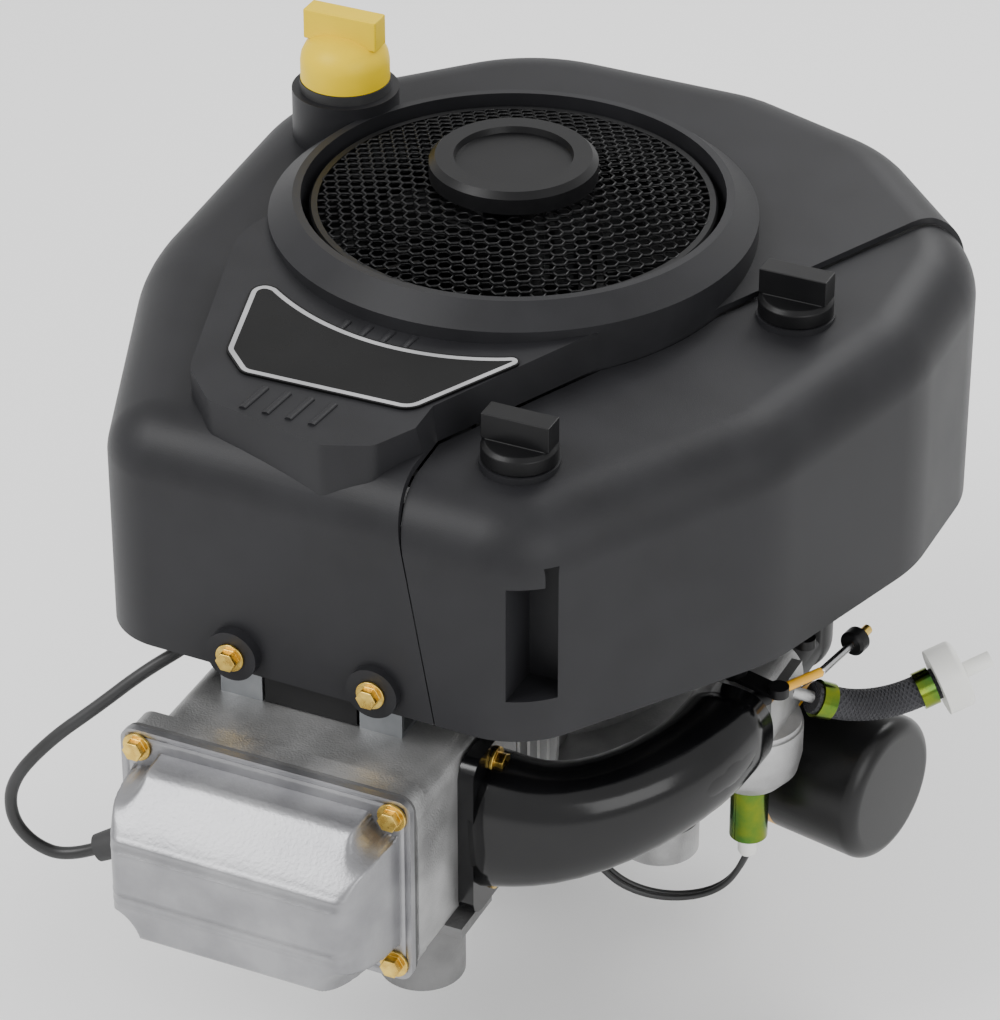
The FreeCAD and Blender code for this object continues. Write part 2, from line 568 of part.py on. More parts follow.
def add_block():
    x, y = cam_place()
    joint = size("sump_height")
    top = size("case_top")
    roof = size("case_roof")
    mid = size("cylinder_height")
    wall = size("sump_wall")
    bore = size("bore") / 2
    case = Part.makeCylinder(size("case_radius"), top - joint, Vector(0, 0, joint))
    flange = Part.makeCylinder(size("sump_radius"), size("flange_height"), Vector(0, 0, joint))
    flange = flange.fuse(Part.makeCylinder(size("cam_bulge"), size("flange_height"), Vector(x, y, joint)))
    flange = flange.fuse(lug_ring(joint))
    boss = Part.makeCylinder(size("boss_radius"), size("boss_top") - top, Vector(0, 0, top))
    deck = -size("deck_y")
    barrel = Part.makeCylinder(bore + size("cylinder_wall"), size("deck_y") - size("barrel_start"),
                               Vector(0, deck, mid), Vector(0, 1, 0))
    tunnel = Part.makeBox(size("tunnel_width"), size("deck_y") - size("barrel_start"),
                          2 * size("valve_step") + 22,
                          Vector(size("pushrod_x") - size("tunnel_width") / 2, deck,
                                 mid - size("valve_step") - 11))
    solid = case.multiFuse([flange, boss, barrel, tunnel])
    for index in range(int(size("fin_count"))):
        start = -(size("fin_first") + index * size("fin_pitch"))
        low = size("fin_low") if start < -size("sump_radius") - 4 else joint + 1
        corners = [(-size("fin_left"), low, 14), (size("fin_right"), low, 14),
                   (size("fin_right"), size("fin_high"), 14), (-size("fin_left"), size("fin_high"), 14)]
        fin = rounded_prism(corners, 0, size("fin_thickness"))
        fin.rotate(Vector(), Vector(1, 0, 0), 90)
        fin.translate(Vector(0, start, 0))
        solid = solid.fuse(fin)
    deck_plate = rounded_prism([(-size("fin_left"), size("fin_low"), 10), (size("fin_right"), size("fin_low"), 10),
                                (size("fin_right"), size("fin_high"), 10), (-size("fin_left"), size("fin_high"), 10)],
                               0, 7)
    deck_plate.rotate(Vector(), Vector(1, 0, 0), 90)
    deck_plate.translate(Vector(0, deck + 7, 0))
    solid = solid.fuse(deck_plate)
    inside = Part.makeCylinder(size("case_radius") - wall, top - roof - joint, Vector(0, 0, joint))
    cam_space = Part.makeCylinder(size("cam_bulge") - wall, size("flange_height") - 4, Vector(x, y, joint))
    bore_hole = Part.makeCylinder(bore, size("deck_y"), Vector(0, deck, mid), Vector(0, 1, 0))
    rod_space = Part.makeBox(2 * size("big_end_radius") + 8, 60, size("bore") - 10,
                             Vector(-size("big_end_radius") - 4, -110, mid - size("bore") / 2 + 5))
    solid = solid.cut(inside).cut(cam_space).cut(bore_hole).cut(rod_space)
    for side in (-1, 1):
        spot = Vector(size("pushrod_x"), deck, mid + side * size("valve_step"))
        solid = solid.cut(Part.makeCylinder(size("tappet_radius") + size("running_gap"),
                                            size("deck_y") - size("pushrod_foot_y") + 2, spot,
                                            Vector(0, 1, 0)))
    solid = solid.cut(Part.makeCylinder(size("journal_radius") + size("running_gap"), 60,
                                        Vector(0, 0, top - roof)))
    solid = solid.cut(Part.makeCylinder(size("seal_radius"), size("seal_height"),
                                        Vector(0, 0, size("boss_top") - size("seal_height"))))
    cam_top = Part.makeCylinder(size("cam_shaft_radius") + 5, 12, Vector(x, y, top - roof - 10))
    solid = solid.fuse(cam_top)
    solid = solid.cut(Part.makeCylinder(size("cam_shaft_radius") + size("running_gap"),
                                        size("cam_high") - top + roof + 10 + size("wall_gap"),
                                        Vector(x, y, top - roof - 10)))
    piece("cylinder_block", made(solid.removeSplitter()))


def add_seals():
    lower = disc_with_holes([("seal_radius", 0, 0), ("journal_radius + wall_gap", 0, 0)], "seal_height")
    upper = disc_with_holes([("seal_radius", 0, 0), ("journal_radius + wall_gap", 0, 0)], "seal_height",
                            (0, 0, "boss_top - seal_height"))
    piece("oil_seals", group(lower, upper))


# ================================================================ head and valve cover
def plate_outline(left, right, low, high, radius):
    return [(-size(left), size(low), radius), (size(right), size(low), radius),
            (size(right), size(high), radius), (-size(left), size(high), radius)]


def slab(corners, start_y, depth):
    """A rounded plate whose outline is in X and Z, from start_y forward to start_y - depth."""
    solid = rounded_prism(corners, 0, depth)
    solid.rotate(Vector(), Vector(1, 0, 0), 90)
    solid.translate(Vector(0, start_y, 0))
    return solid


def forward_rod(radius, start_y, length, x, z):
    return Part.makeCylinder(radius, length, Vector(x, start_y, z), Vector(0, -1, 0))


def head_holes(start_y, length, radius):
    mid = size("cylinder_height")
    spots = [(size("pushrod_x"), mid + side * size("valve_step")) for side in (-1, 1)]
    return [forward_rod(radius, start_y, length, x, z) for x, z in spots]


def add_head():
    mid = size("cylinder_height")
    deck = -size("deck_y")
    outline = plate_outline("fin_left", "fin_right", "fin_low", "fin_high", 10)
    gasket = slab(outline, deck, size("gasket"))
    gasket = gasket.cut(forward_rod(size("bore") / 2 + 1, deck, size("gasket"), 0, mid))
    for hole in head_holes(deck, size("gasket"), size("tappet_radius")):
        gasket = gasket.cut(hole)
    start = deck - size("gasket")
    end = -size("head_end_y")
    body = slab(plate_outline("fin_left", "fin_right", "fin_low", "fin_high", 10), start, start - end)
    rim = slab(plate_outline("head_left", "head_right", "head_low", "head_high", size("corner_round")),
               end + 12, 12)
    solid = body.fuse(rim)
    cavity_outline = [(-size("head_left") + 14, size("head_low") + 14, 8),
                      (size("head_right") - 6, size("head_low") + 14, 8),
                      (size("head_right") - 6, size("head_high") - 14, 8),
                      (-size("head_left") + 14, size("head_high") - 14, 8)]
    cavity = slab(cavity_outline, end + size("rocker_box_depth"), size("rocker_box_depth"))
    solid = solid.cut(cavity)
    pedestal = Part.makeBox(16, size("rocker_box_depth") - 4, 22,
                            Vector(size("pivot_x") - 8, end + 6, mid - 11))
    solid = solid.fuse(pedestal)
    solid = solid.cut(forward_rod(size("bore") / 2 - 4, start, size("chamber_depth"), 0, mid))
    for side in (-1, 1):
        height = mid + side * size("valve_step")
        stem_hole = forward_rod(size("stem_radius") + size("running_gap"), start, 60, size("valve_x"), height)
        seat = forward_rod(size("valve_radius") + 0.5, start, size("valve_face_y") - size("deck_y") + 2,
                           size("valve_x"), height)
        throat = forward_rod(size("valve_radius") - 2, start, 24, size("valve_x"), height)
        solid = solid.cut(stem_hole).cut(seat).cut(throat)
    for hole in head_holes(start, 60, size("tappet_radius")):
        solid = solid.cut(hole)
    intake = Part.makeCylinder(size("port_radius") - 4, size("fin_right") - size("valve_x"),
                               Vector(size("valve_x"), -size("port_y") + 6, mid), Vector(1, 0, 0))
    solid = solid.cut(intake.cut(pushrod_walls(start)))
    shaft_hole = Part.makeCylinder(size("rocker_pin"), 2 * size("valve_step") + 30,
                                   Vector(size("pivot_x"), -size("pivot_y"), mid - size("valve_step") - 15))
    solid = solid.cut(shaft_hole)
    head_thread = plug_thread_hole()
    solid = solid.cut(head_thread)
    piece("cylinder_head", made(solid.removeSplitter()))
    pin = Part.makeCylinder(size("rocker_pin"), 2 * size("valve_step") + 18,
                            Vector(size("pivot_x"), -size("pivot_y"), mid - size("valve_step") - 9))
    piece("rocker_shaft", made(pin))
    return gasket


def pushrod_walls(start):
    walls = head_holes(start, 60, size("tappet_radius") + 3)
    return walls[0].fuse(walls[1])


PLUG_FOOT = Vector(-60, -206, 62)
PLUG_HEADING = Vector(-0.87, -0.22, -0.44)


def plug_thread_hole():
    heading = Vector(PLUG_HEADING).normalize()
    return Part.makeCylinder(size("plug_radius") + 1, 40, PLUG_FOOT, heading)


def add_plug():
    heading = Vector(PLUG_HEADING).normalize()
    thread = Part.makeCylinder(size("plug_radius"), 20, PLUG_FOOT, heading)
    seat = PLUG_FOOT + heading * 20
    shell = Part.makeCylinder(size("plug_radius") + 0.9, 10, seat, heading)
    nose = Part.makeCylinder(size("plug_radius") - 1.2, 26, seat + heading * 10, heading)
    piece("spark_plug", made(thread.fuse(shell).fuse(nose).removeSplitter()))
    boot_start = seat + heading * 14
    boot = Part.makeCone(size("boot_radius"), size("boot_radius") - 2.5, size("boot_length"),
                         boot_start, heading)
    boot = boot.cut(Part.makeCylinder(size("plug_radius") - 1.2, 22, boot_start, heading))
    piece("spark_plug_boot", made(boot))
    return boot_start + heading * size("boot_length")


def add_valve_train():
    mid = size("cylinder_height")
    tip_y = -size("pivot_y") + size("nose_radius") + size("rocker_gap")
    names = {-1: "exhaust", 1: "intake"}
    springs = []
    for side, name in names.items():
        height = mid + side * size("valve_step")
        face_y = -size("valve_face_y")
        lip = forward_rod(size("valve_radius"), face_y, size("valve_lip"), size("valve_x"), height)
        back = Part.makeCone(size("valve_radius") - 2.5, size("stem_radius"), size("valve_cone"),
                             Vector(size("valve_x"), face_y - size("valve_lip"), height), Vector(0, -1, 0))
        stem = forward_rod(size("stem_radius"), face_y, face_y - tip_y, size("valve_x"), height)
        retainer = forward_rod(size("spring_radius"), -size("spring_high_y"), size("retainer_thickness"),
                               size("valve_x"), height)
        piece(name + "_valve", made(lip.multiFuse([back, stem, retainer]).removeSplitter()))
        floor_y = -(size("head_end_y") - size("rocker_box_depth"))
        wire = size("spring_wire") / 2
        span = floor_y + size("spring_high_y") - 2 * (wire + 0.2)
        middle = size("spring_radius") - wire - 0.6
        helix = Part.makeHelix(span / size("spring_coils"), span, middle)
        section = Part.Wire([Part.Circle(Vector(middle, 0, 0), Vector(0, 1, 0), wire).toShape()])
        coil = Part.Wire(helix).makePipeShell([section], True, True)
        coil.rotate(Vector(), Vector(1, 0, 0), 90)
        coil.translate(Vector(size("valve_x"), floor_y - wire - 0.2, height))
        springs.append(coil)
        pivot = Vector(size("pivot_x"), -size("pivot_y"), height - size("rocker_height") / 2)
        bar = Part.makeBox(size("pushrod_x") - size("valve_x"), size("rocker_thickness"), size("rocker_height"),
                           Vector(size("valve_x"), -size("pivot_y") - size("rocker_thickness") / 2, pivot.z))
        parts = [Part.makeCylinder(size("rocker_boss"), size("rocker_height"), pivot)]
        for end in (size("valve_x"), size("pushrod_x")):
            parts.append(Part.makeCylinder(size("nose_radius"), size("rocker_height"),
                                           Vector(end, -size("pivot_y"), pivot.z)))
        arm = bar.multiFuse(parts)
        arm = arm.cut(Part.makeCylinder(size("rocker_pin") + size("running_gap"), size("rocker_height"), pivot))
        piece(name + "_rocker", made(arm.removeSplitter()))
        tappet = forward_rod(size("tappet_radius"), -size("pushrod_foot_y"), size("tappet_length"),
                             size("pushrod_x"), height)
        push = forward_rod(size("pushrod_radius"), -size("pushrod_foot_y"),
                           -size("pushrod_foot_y") - tip_y, size("pushrod_x"), height)
        piece(name + "_pushrod", made(tappet.fuse(push).removeSplitter()))
    piece("valve_springs", made(Part.makeCompound(springs)))


def add_valve_cover(head_gasket):
    end = -size("head_end_y")
    outline = plate_outline("cover_left", "cover_right", "cover_low", "cover_high", size("corner_round"))
    opening = [(-size("cover_left") + size("dome_inset"), size("cover_low") + size("dome_inset"), 18),
               (size("cover_right") - size("dome_inset"), size("cover_low") + size("dome_inset"), 18),
               (size("cover_right") - size("dome_inset"), size("cover_high") - size("dome_inset"), 18),
               (-size("cover_left") + size("dome_inset"), size("cover_high") - size("dome_inset"), 18)]
    wall = size("cover_wall")
    gasket_inner = [(x + (wall if x < 0 else -wall), z + (wall if z < size("cylinder_height") else -wall), 15)
                    for x, z, _ in opening]
    gasket = slab(outline, end, size("gasket")).cut(slab(gasket_inner, end, size("gasket")))
    piece("gaskets", made(Part.makeCompound([head_gasket, gasket])))
    base = end - size("gasket")
    flange = slab(outline, base, size("cover_flange"))
    dome = slab(opening, base, size("cover_depth"))
    front = [edge for edge in dome.Edges
             if abs(edge.CenterOfMass.y - (base - size("cover_depth"))) < 0.1]
    dome = dome.makeFillet(size("dome_edge"), front)
    hollow = slab(gasket_inner, base, size("cover_depth") - wall)
    inner_front = [edge for edge in hollow.Edges
                   if abs(edge.CenterOfMass.y - (base - size("cover_depth") + wall)) < 0.1]
    hollow = hollow.makeFillet(size("dome_edge") - wall, inner_front)
    solid = flange.fuse(dome).cut(hollow)
    left = -size("cover_left") + size("dome_inset") + 14
    right = size("cover_right") - size("dome_inset") - 14
    for level in (size("rib_low"), size("rib_high")):
        rib = Part.makeBox(right - left, size("rib_height") + 1, size("rib_width"),
                           Vector(left, base - size("cover_depth") - size("rib_height"), level))
        solid = solid.fuse(rib)
    piece("valve_cover", made(solid.removeSplitter()))


def flange_bolt(seat, heading):
    """One hex flange bolt, its flange resting on the seat and its head pointing along heading."""
    heading = Vector(heading).normalize()
    turn = Rotation(Vector(0, 0, 1), heading)
    flange = Part.makeCylinder(size("bolt_flange"), size("bolt_flange_thickness"))
    spots = [Vector(size("bolt_hex") * math.cos(math.radians(60 * step)),
                    size("bolt_hex") * math.sin(math.radians(60 * step)), 0) for step in range(6)]
    hexagon = Part.Face(Part.makePolygon(spots + spots[:1])).extrude(Vector(0, 0, size("bolt_head")))
    solid = flange.fuse(hexagon)
    solid.Placement = Placement(Vector(*seat), turn)
    return solid


def add_flange_bolts():
    bolts = []
    inset = size("cover_bolt_inset")
    front = -size("head_end_y") - size("gasket") - size("cover_flange")
    for x in (-size("cover_left") + inset, size("cover_right") - inset):
        for z in (size("cover_low") + inset, size("cover_high") - inset):
            bolts.append(flange_bolt((x, front, z), (0, -1, 0)))
    for side in (-1, 1):
        x = size("shroud_bolt_centre") + side * size("shroud_bolt_x")
        bolts.append(flange_bolt((x, -size("front_face_y") - size("lug_depth"), size("shroud_bolt_z")),
                                 (0, -1, 0)))
    flange_x = size("fin_right") + size("elbow_flange_thickness")
    for side in (-1, 1):
        z = size("intake_mid_z") + side * size("intake_bolt_spacing") / 2
        bolts.append(flange_bolt((flange_x, -size("intake_bolt_y"), z), (1, 0, 0)))
    lug_low = size("sump_height") - size("flange_height")
    for turn in case_bolt_turns():
        bolts.append(flange_bolt(case_bolt_spot(turn) + Vector(0, 0, lug_low), (0, 0, -1)))
    piece("flange_bolts", made(Part.makeCompound(bolts)))


# ================================================================ blower housing and air cleaner
SHROUD_CORNERS = [(-112, -214, 34), (104, -218, 46), (182, -104, 90), (214, 0, 90), (214, 88, 66),
                  (140, 158, 80), (60, 182, 80), (-70, 182, 100), (-168, 95, 90), (-168, -70, 130)]
PLATEAU_CORNERS = [(-116, -60, 40), (-82, -180, 16), (-62, -200, 12), (2, -212, 10), (24, -204, 10),
                   (40, -178, 20), (104, -40, 20), (0, 40, 20)]


def shroud_prism(inset, low, high):
    wire = rounded_wire(SHROUD_CORNERS, low)
    if inset:
        wire = wire.makeOffset2D(-inset)
    return Part.Face(wire).extrude(Vector(0, 0, high - low))


def below_slope(height, slope):
    """A large block whose top face slopes up towards +Y and passes through the axis at height."""
    block = Part.makeBox(800, 800, 400, Vector(-400, -400, -400))
    block.rotate(Vector(), Vector(1, 0, 0), slope)
    block.translate(Vector(0, 0, height))
    return block


def domed(inset, low, height, rounding):
    """The housing's outer form, set in by inset, with a sloping top and a large rounded shoulder."""
    solid = shroud_prism(inset, low, height + 60).common(below_slope(height, size("top_slope")))
    top = max(solid.Faces, key=lambda face: face.CenterOfMass.z)
    return solid.makeFillet(rounding, top.Edges)


def split_vectors():
    turn = math.radians(size("split_angle"))
    return Vector(math.cos(turn), math.sin(turn), 0), Vector(math.sin(turn), -math.cos(turn), 0)


def cover_region(shift):
    """The wedge of space that the air-cleaner cover fills, moved away from the housing by shift."""
    along, across = split_vectors()
    corner = across * size("split_offset") - along * 127
    rear = across * size("split_offset") + along * 170
    upper = [corner, Vector(corner.x - 3, -280, 0), Vector(320, -280, 0), Vector(320, 240, 0), rear]
    lower = [corner + Vector(20, 0, 0), Vector(corner.x + 36, -280, 0), Vector(320, -280, 0),
             Vector(320, 240, 0), rear]
    wires = []
    for level, spots in ((140, lower), (300, upper)):
        spots = [spot + Vector(0, 0, level) + across * shift for spot in spots]
        wires.append(Part.makePolygon(spots + spots[:1]))
    return Part.makeLoft(wires, True, True)


def slot_space(margin, front, back, low, high):
    """A box as wide as the intake slot and margin on each side, from y = -front to y = -back."""
    return Part.makeBox(size("slot_right") - size("slot_left") + 2 * margin, front - back, high - low,
                        Vector(size("slot_left") - margin, -front, low))


def add_housing():
    low = size("shroud_low")
    wall = size("shroud_wall")
    outer = domed(0, low, size("shroud_top"), size("shroud_round"))
    inner = domed(wall, low - 1, size("shroud_top") - wall, size("shroud_round") - wall)
    shell = outer.cut(inner)
    opening = Part.makeCylinder(size("fan_opening"), 200, Vector(0, 0, 200))
    region = cover_region(0)
    fan_ring = Part.makeCylinder(size("ring_radius"), size("ring_step_height") - size("ring_low"),
                                 Vector(0, 0, size("ring_low")))
    fan_ring = fan_ring.cut(Part.makeCylinder(size("ring_radius") - wall,
                                              size("ring_step_height") - size("ring_low") - wall,
                                              Vector(0, 0, size("ring_low"))))
    lip = Part.makeCone(size("ring_radius"), size("fan_opening") + size("ring_lip"),
                        size("ring_high") - size("ring_step_height"), Vector(0, 0, size("ring_step_height")))
    skirt = Part.makeCylinder(size("fan_opening") + wall, size("ring_high") - size("ring_low"),
                              Vector(0, 0, size("ring_low")))
    plateau_top = below_slope(size("plateau_top"), size("plateau_slope"))
    plateau = rounded_prism(PLATEAU_CORNERS, 240, 330).common(plateau_top)
    plateau = plateau.cut(rounded_prism(PLATEAU_CORNERS, 230, 330).common(
        below_slope(size("plateau_top") - wall, size("plateau_slope"))).common(inner))
    plateau = plateau.cut(inner)
    neck = Part.makeCylinder(size("neck_radius"), size("neck_high") - size("neck_low"),
                             Vector(size("neck_x"), size("neck_y"), size("neck_low")))
    neck = neck.cut(Part.makeCylinder(size("neck_radius") - wall,
                                      size("neck_high") - size("neck_low") - wall,
                                      Vector(size("neck_x"), size("neck_y"), size("neck_low"))))
    body = shell.cut(region)
    body = body.multiFuse([plateau.cut(region), fan_ring, lip, skirt, neck])
    neck_hole = Part.makeCylinder(size("tube_radius") + size("wall_gap"), 200,
                                  Vector(size("neck_x"), size("neck_y"), 200))
    body = body.cut(opening).cut(neck_hole)
    face = -size("front_face_y")
    for side in (-1, 1):
        spot = Vector(size("shroud_bolt_centre") + side * size("shroud_bolt_x"), face + wall + 1,
                      size("shroud_bolt_z"))
        lug = Part.makeCylinder(size("lug_radius"), size("lug_depth") + wall + 1, spot, Vector(0, -1, 0))
        body = body.fuse(lug)
    body = body.removeSplitter()
    piece("blower_housing", made(biggest(body)))
    cover = domed(0, low, size("cover_top"), size("shroud_round")).cut(
        domed(wall, low - 1, size("cover_top") - wall, size("shroud_round") - wall))
    cover = cover.common(cover_region(size("cover_gap")))
    bite = Part.makeCylinder(size("ring_radius") + size("cover_gap"), 200, Vector(0, 0, 200))
    for end in ("front", "rear"):
        x, y, z = (size("knob_%s_%s" % (end, axis)) for axis in "xyz")
        cover = cover.fuse(Part.makeCylinder(size("knob_radius") + 1, 10, Vector(x, y, z - 10)))
    cover = cover.cut(bite)
    for end in ("front", "rear"):
        x, y, z = (size("knob_%s_%s" % (end, axis)) for axis in "xyz")
        cover = cover.cut(Part.makeCylinder(size("knob_stem") + size("running_gap"), 40, Vector(x, y, z - 30)))
    front, back = size("slot_front"), size("snorkel_back")
    slot_low, slot_high = size("slot_low"), size("slot_high")
    snorkel_wall, snorkel_top = size("snorkel_wall"), size("snorkel_top")
    slot = slot_space(0, front, back, slot_low, slot_high)
    snorkel = slot_space(snorkel_wall, front, back - snorkel_wall, slot_low - snorkel_wall, snorkel_top)
    snorkel = snorkel.common(domed(0, low, size("cover_top"), size("shroud_round")))
    riser = slot_space(0, size("riser_front"), back, slot_low, snorkel_top + snorkel_wall)
    cover = cover.fuse(snorkel).cut(slot).cut(riser)
    piece("air_cleaner_cover", made(biggest(cover.removeSplitter())))


def biggest(shape):
    return max(shape.Solids, key=lambda solid: solid.Volume)


def add_knobs():
    for end in ("front", "rear"):
        x, y, z = ("knob_%s_%s" % (end, axis) for axis in "xyz")
        seat = z + " + knob_lift"
        disc = turned([(0, 0), ("knob_radius", 0), ("knob_radius", "knob_disc - 2"),
                       ("knob_radius - 2", "knob_disc"), (0, "knob_disc")], (x, y, seat))
        grip = padded([[("-knob_radius + 1", "-knob_grip_width/2"), ("knob_radius - 1", "-knob_grip_width/2"),
                        ("knob_radius - 1", "knob_grip_width/2"), ("-knob_radius + 1", "knob_grip_width/2")]],
                      "knob_grip", (x, y, seat + " + knob_disc"))
        stem = rod("knob_stem", "knob_stem_length + knob_lift", (x, y, z + " - knob_stem_length"))
        piece("knob_" + end, fuse(disc, grip, stem))


def add_air_cleaner():
    low = size("tray_top") - size("tray_thickness")
    plate = shroud_prism(size("tray_inset"), low, low + size("tray_thickness"))
    plate = plate.common(cover_region(size("tray_inset")))
    plate = plate.cut(Part.makeCylinder(size("ring_radius"), 100, Vector(0, 0, low - 20)))
    duct_x = size("carb_x")
    duct = Part.makeCylinder(size("horn_radius"), low - size("carb_z"),
                             Vector(duct_x, size("horn_y"), size("carb_z")))
    duct = duct.fuse(Part.makeSphere(size("horn_radius"), Vector(duct_x, size("horn_y"), size("carb_z"))))
    reach = size("horn_y") - (size("carb_y") + size("throat_length") / 2)
    stub_start = Vector(duct_x, size("horn_y") - reach, size("carb_z"))
    backwards = Vector(0, 1, 0)
    stub = Part.makeCylinder(size("horn_radius") - size("horn_step"), reach, stub_start, backwards)
    bore = Part.makeCylinder(size("throat_bore"), low + 10 - size("carb_z"),
                             Vector(duct_x, size("horn_y"), size("carb_z")))
    bore = bore.fuse(Part.makeCylinder(size("throat_bore"), reach, stub_start, backwards))
    room = size("snorkel_wall") + size("snorkel_gap")
    snorkel_room = slot_space(room, size("slot_front"), size("snorkel_back") - room, low, size("tray_top"))
    tray = plate.cut(snorkel_room).fuse(duct).fuse(stub).cut(bore)
    piece("air_cleaner_base", made(biggest(tray.removeSplitter())))
    along, across = split_vectors()
    centre = across * size("filter_across") + along * size("filter_along")
    width = size("filter_width")
    length = size("filter_length")
    pleats = 30
    corners = []
    for index in range(pleats + 1):
        spot = -length / 2 + length * index / pleats
        corners.append(Vector(spot, width / 2 - (2 if index % 2 else 0), 0))
    for index in range(pleats, -1, -1):
        spot = -length / 2 + length * index / pleats
        corners.append(Vector(spot, -width / 2 + (2 if index % 2 else 0), 0))
    element = Part.Face(Part.makePolygon(corners + corners[:1])).extrude(Vector(0, 0, size("filter_height")))
    element.rotate(Vector(), Vector(0, 0, 1), size("split_angle"))
    element.translate(centre + Vector(0, 0, size("tray_top")))
    piece("air_filter", made(element))


def add_brackets():
    tabs = []
    top = size("head_high")
    back = -size("front_face_y") + size("shroud_wall") + 0.5
    for side in (-1, 1):
        x = size("shroud_bolt_centre") + side * size("shroud_bolt_x")
        upright = Part.makeBox(22, 2.5, size("shroud_bolt_z") + 8 - 138, Vector(x - 11, back + 1, 138))
        foot = Part.makeBox(22, 20, 2.5, Vector(x - 11, back + 1, 138))
        tabs.append(upright.fuse(foot).removeSplitter())
    piece("shroud_brackets", made(Part.makeCompound(tabs)))
    guide = Part.makeBox(48, 14, 30, Vector(size("shroud_bolt_centre") - 24, back + 1, 138.5))
    guide = guide.cut(Part.makeBox(42, 12, 30, Vector(size("shroud_bolt_centre") - 21, back + 4, 138.5)))
    piece("air_guide", made(guide))


def add_nameplate():
    spots = [(-89, -101, 6), (-71, -160, 6), (-59, -178, 5), (31, -175, 8), (62, -110, 4), (53, -103, 3)]
    plate = rounded_prism(spots, 240, 330)
    plate = plate.common(below_slope(size("plateau_top") + 1.2, size("plateau_slope")))
    plate = plate.cut(below_slope(size("plateau_top"), size("plateau_slope")))
    plate = plate.cut(Part.makeCylinder(size("ring_radius") + 4, 200, Vector(0, 0, 200)))
    piece("nameplate", made(biggest(plate)))


# ================================================================ flywheel, fan and screen
def add_rotor():
    low = "flywheel_low"
    rim_inner = "flywheel_radius - 14"
    taper_share = "(flywheel_low - taper_start)/(taper_end - taper_start)"
    bore = "journal_radius - (journal_radius - taper_radius)*" + taper_share
    wheel = turned([
        (bore, low), ("flywheel_hub", low), ("flywheel_hub", "flywheel_low + flywheel_web"),
        (rim_inner, "flywheel_low + flywheel_web"), (rim_inner, low), ("flywheel_radius", low),
        ("flywheel_radius", "flywheel_low + flywheel_rim"), (rim_inner, "flywheel_low + flywheel_rim"),
        (rim_inner, "flywheel_low + 2*flywheel_web"), ("flywheel_hub", "flywheel_low + 2*flywheel_web"),
        ("flywheel_hub", "taper_end"), ("taper_radius", "taper_end")])
    piece("flywheel", wheel)
    teeth = int(size("ring_gear_teeth"))
    step = 2 * math.pi / teeth
    outer = size("ring_gear_outer")
    corners = []
    for tooth in range(teeth):
        for share, radius in ((-0.36, outer - size("ring_tooth")), (-0.22, outer), (0.22, outer),
                              (0.36, outer - size("ring_tooth"))):
            turn = (tooth + share) * step
            corners.append(Vector(radius * math.cos(turn), radius * math.sin(turn), size("flywheel_low")))
    rim = Part.Face(Part.makePolygon(corners + corners[:1])).extrude(Vector(0, 0, size("ring_gear_width")))
    rim = rim.cut(Part.makeCylinder(size("ring_gear_inner"), 60, Vector(0, 0, size("flywheel_low") - 20)))
    piece("ring_gear", made(rim))
    disc = Part.makeCylinder(size("blade_outer"), size("fan_disc"), Vector(0, 0, size("fan_low")))
    disc = disc.cut(Part.makeCylinder(size("flywheel_hub") + 1, 20, Vector(0, 0, size("fan_low") - 5)))
    blades = []
    length = size("blade_outer") - size("blade_inner")
    for index in range(int(size("fan_blades"))):
        blade = Part.makeBox(length, size("blade_thickness"), size("fan_high") - size("fan_low"),
                             Vector(0, -size("blade_thickness") / 2, size("fan_low")))
        blade.rotate(Vector(), Vector(0, 0, 1), size("blade_lean"))
        blade.translate(Vector(size("blade_inner"), 0, 0))
        blade = blade.common(Part.makeCylinder(size("blade_outer"), 200, Vector(0, 0, 180)))
        blade.rotate(Vector(), Vector(0, 0, 1), 360 * index / size("fan_blades"))
        blades.append(blade)
    piece("cooling_fan", made(disc.multiFuse(blades).removeSplitter()))
    screen_low = "screen_low"
    screen = turned([
        ("screen_radius - screen_wall", screen_low), ("screen_radius", screen_low),
        ("screen_radius", "screen_edge"), ("screen_radius - 22", "screen_edge + 9"),
        ("cap_radius", "screen_top - 4"), ("cap_radius - 4", "screen_top - 4"),
        ("cap_radius - 4", "screen_top - 4 - screen_wall"), ("screen_radius - 23", "screen_edge + 7"),
        ("screen_radius - screen_wall", "screen_edge - 2")])
    piece("rotating_screen", screen)
    cap = turned([
        (0, "screen_top - 3.9"), ("cap_radius", "screen_top - 3.9"), ("cap_radius", "screen_top + cap_height - 6"),
        ("cap_radius - 3", "screen_top + cap_height - 3"), ("cap_radius - cap_rim", "screen_top + cap_height - 3"),
        ("cap_radius - cap_rim - 1", "screen_top + cap_height - 3 - cap_recess"),
        (0, "screen_top + cap_height - 3 - cap_recess")])
    post = rod("screen_seat/2", "screen_top - 3.9 - fan_high + 46", (0, 0, "fan_high - 46"))
    boss = rod("flywheel_hub", "cap_recess + 2", (0, 0, "fan_high - 46"))
    nut_space = rod("stud_radius + 0.2", "cap_recess + 30", (0, 0, "fan_high - 60"))
    piece("screen_cap", cut(fuse(cap, post, boss), nut_space))


# ================================================================ intake, carburettor and fuel
INTAKE_ROUTE = [(74, -190, 90), (104, -188, 92), (138, -164, 100), (158, -128, 108), (160, -97, 110)]


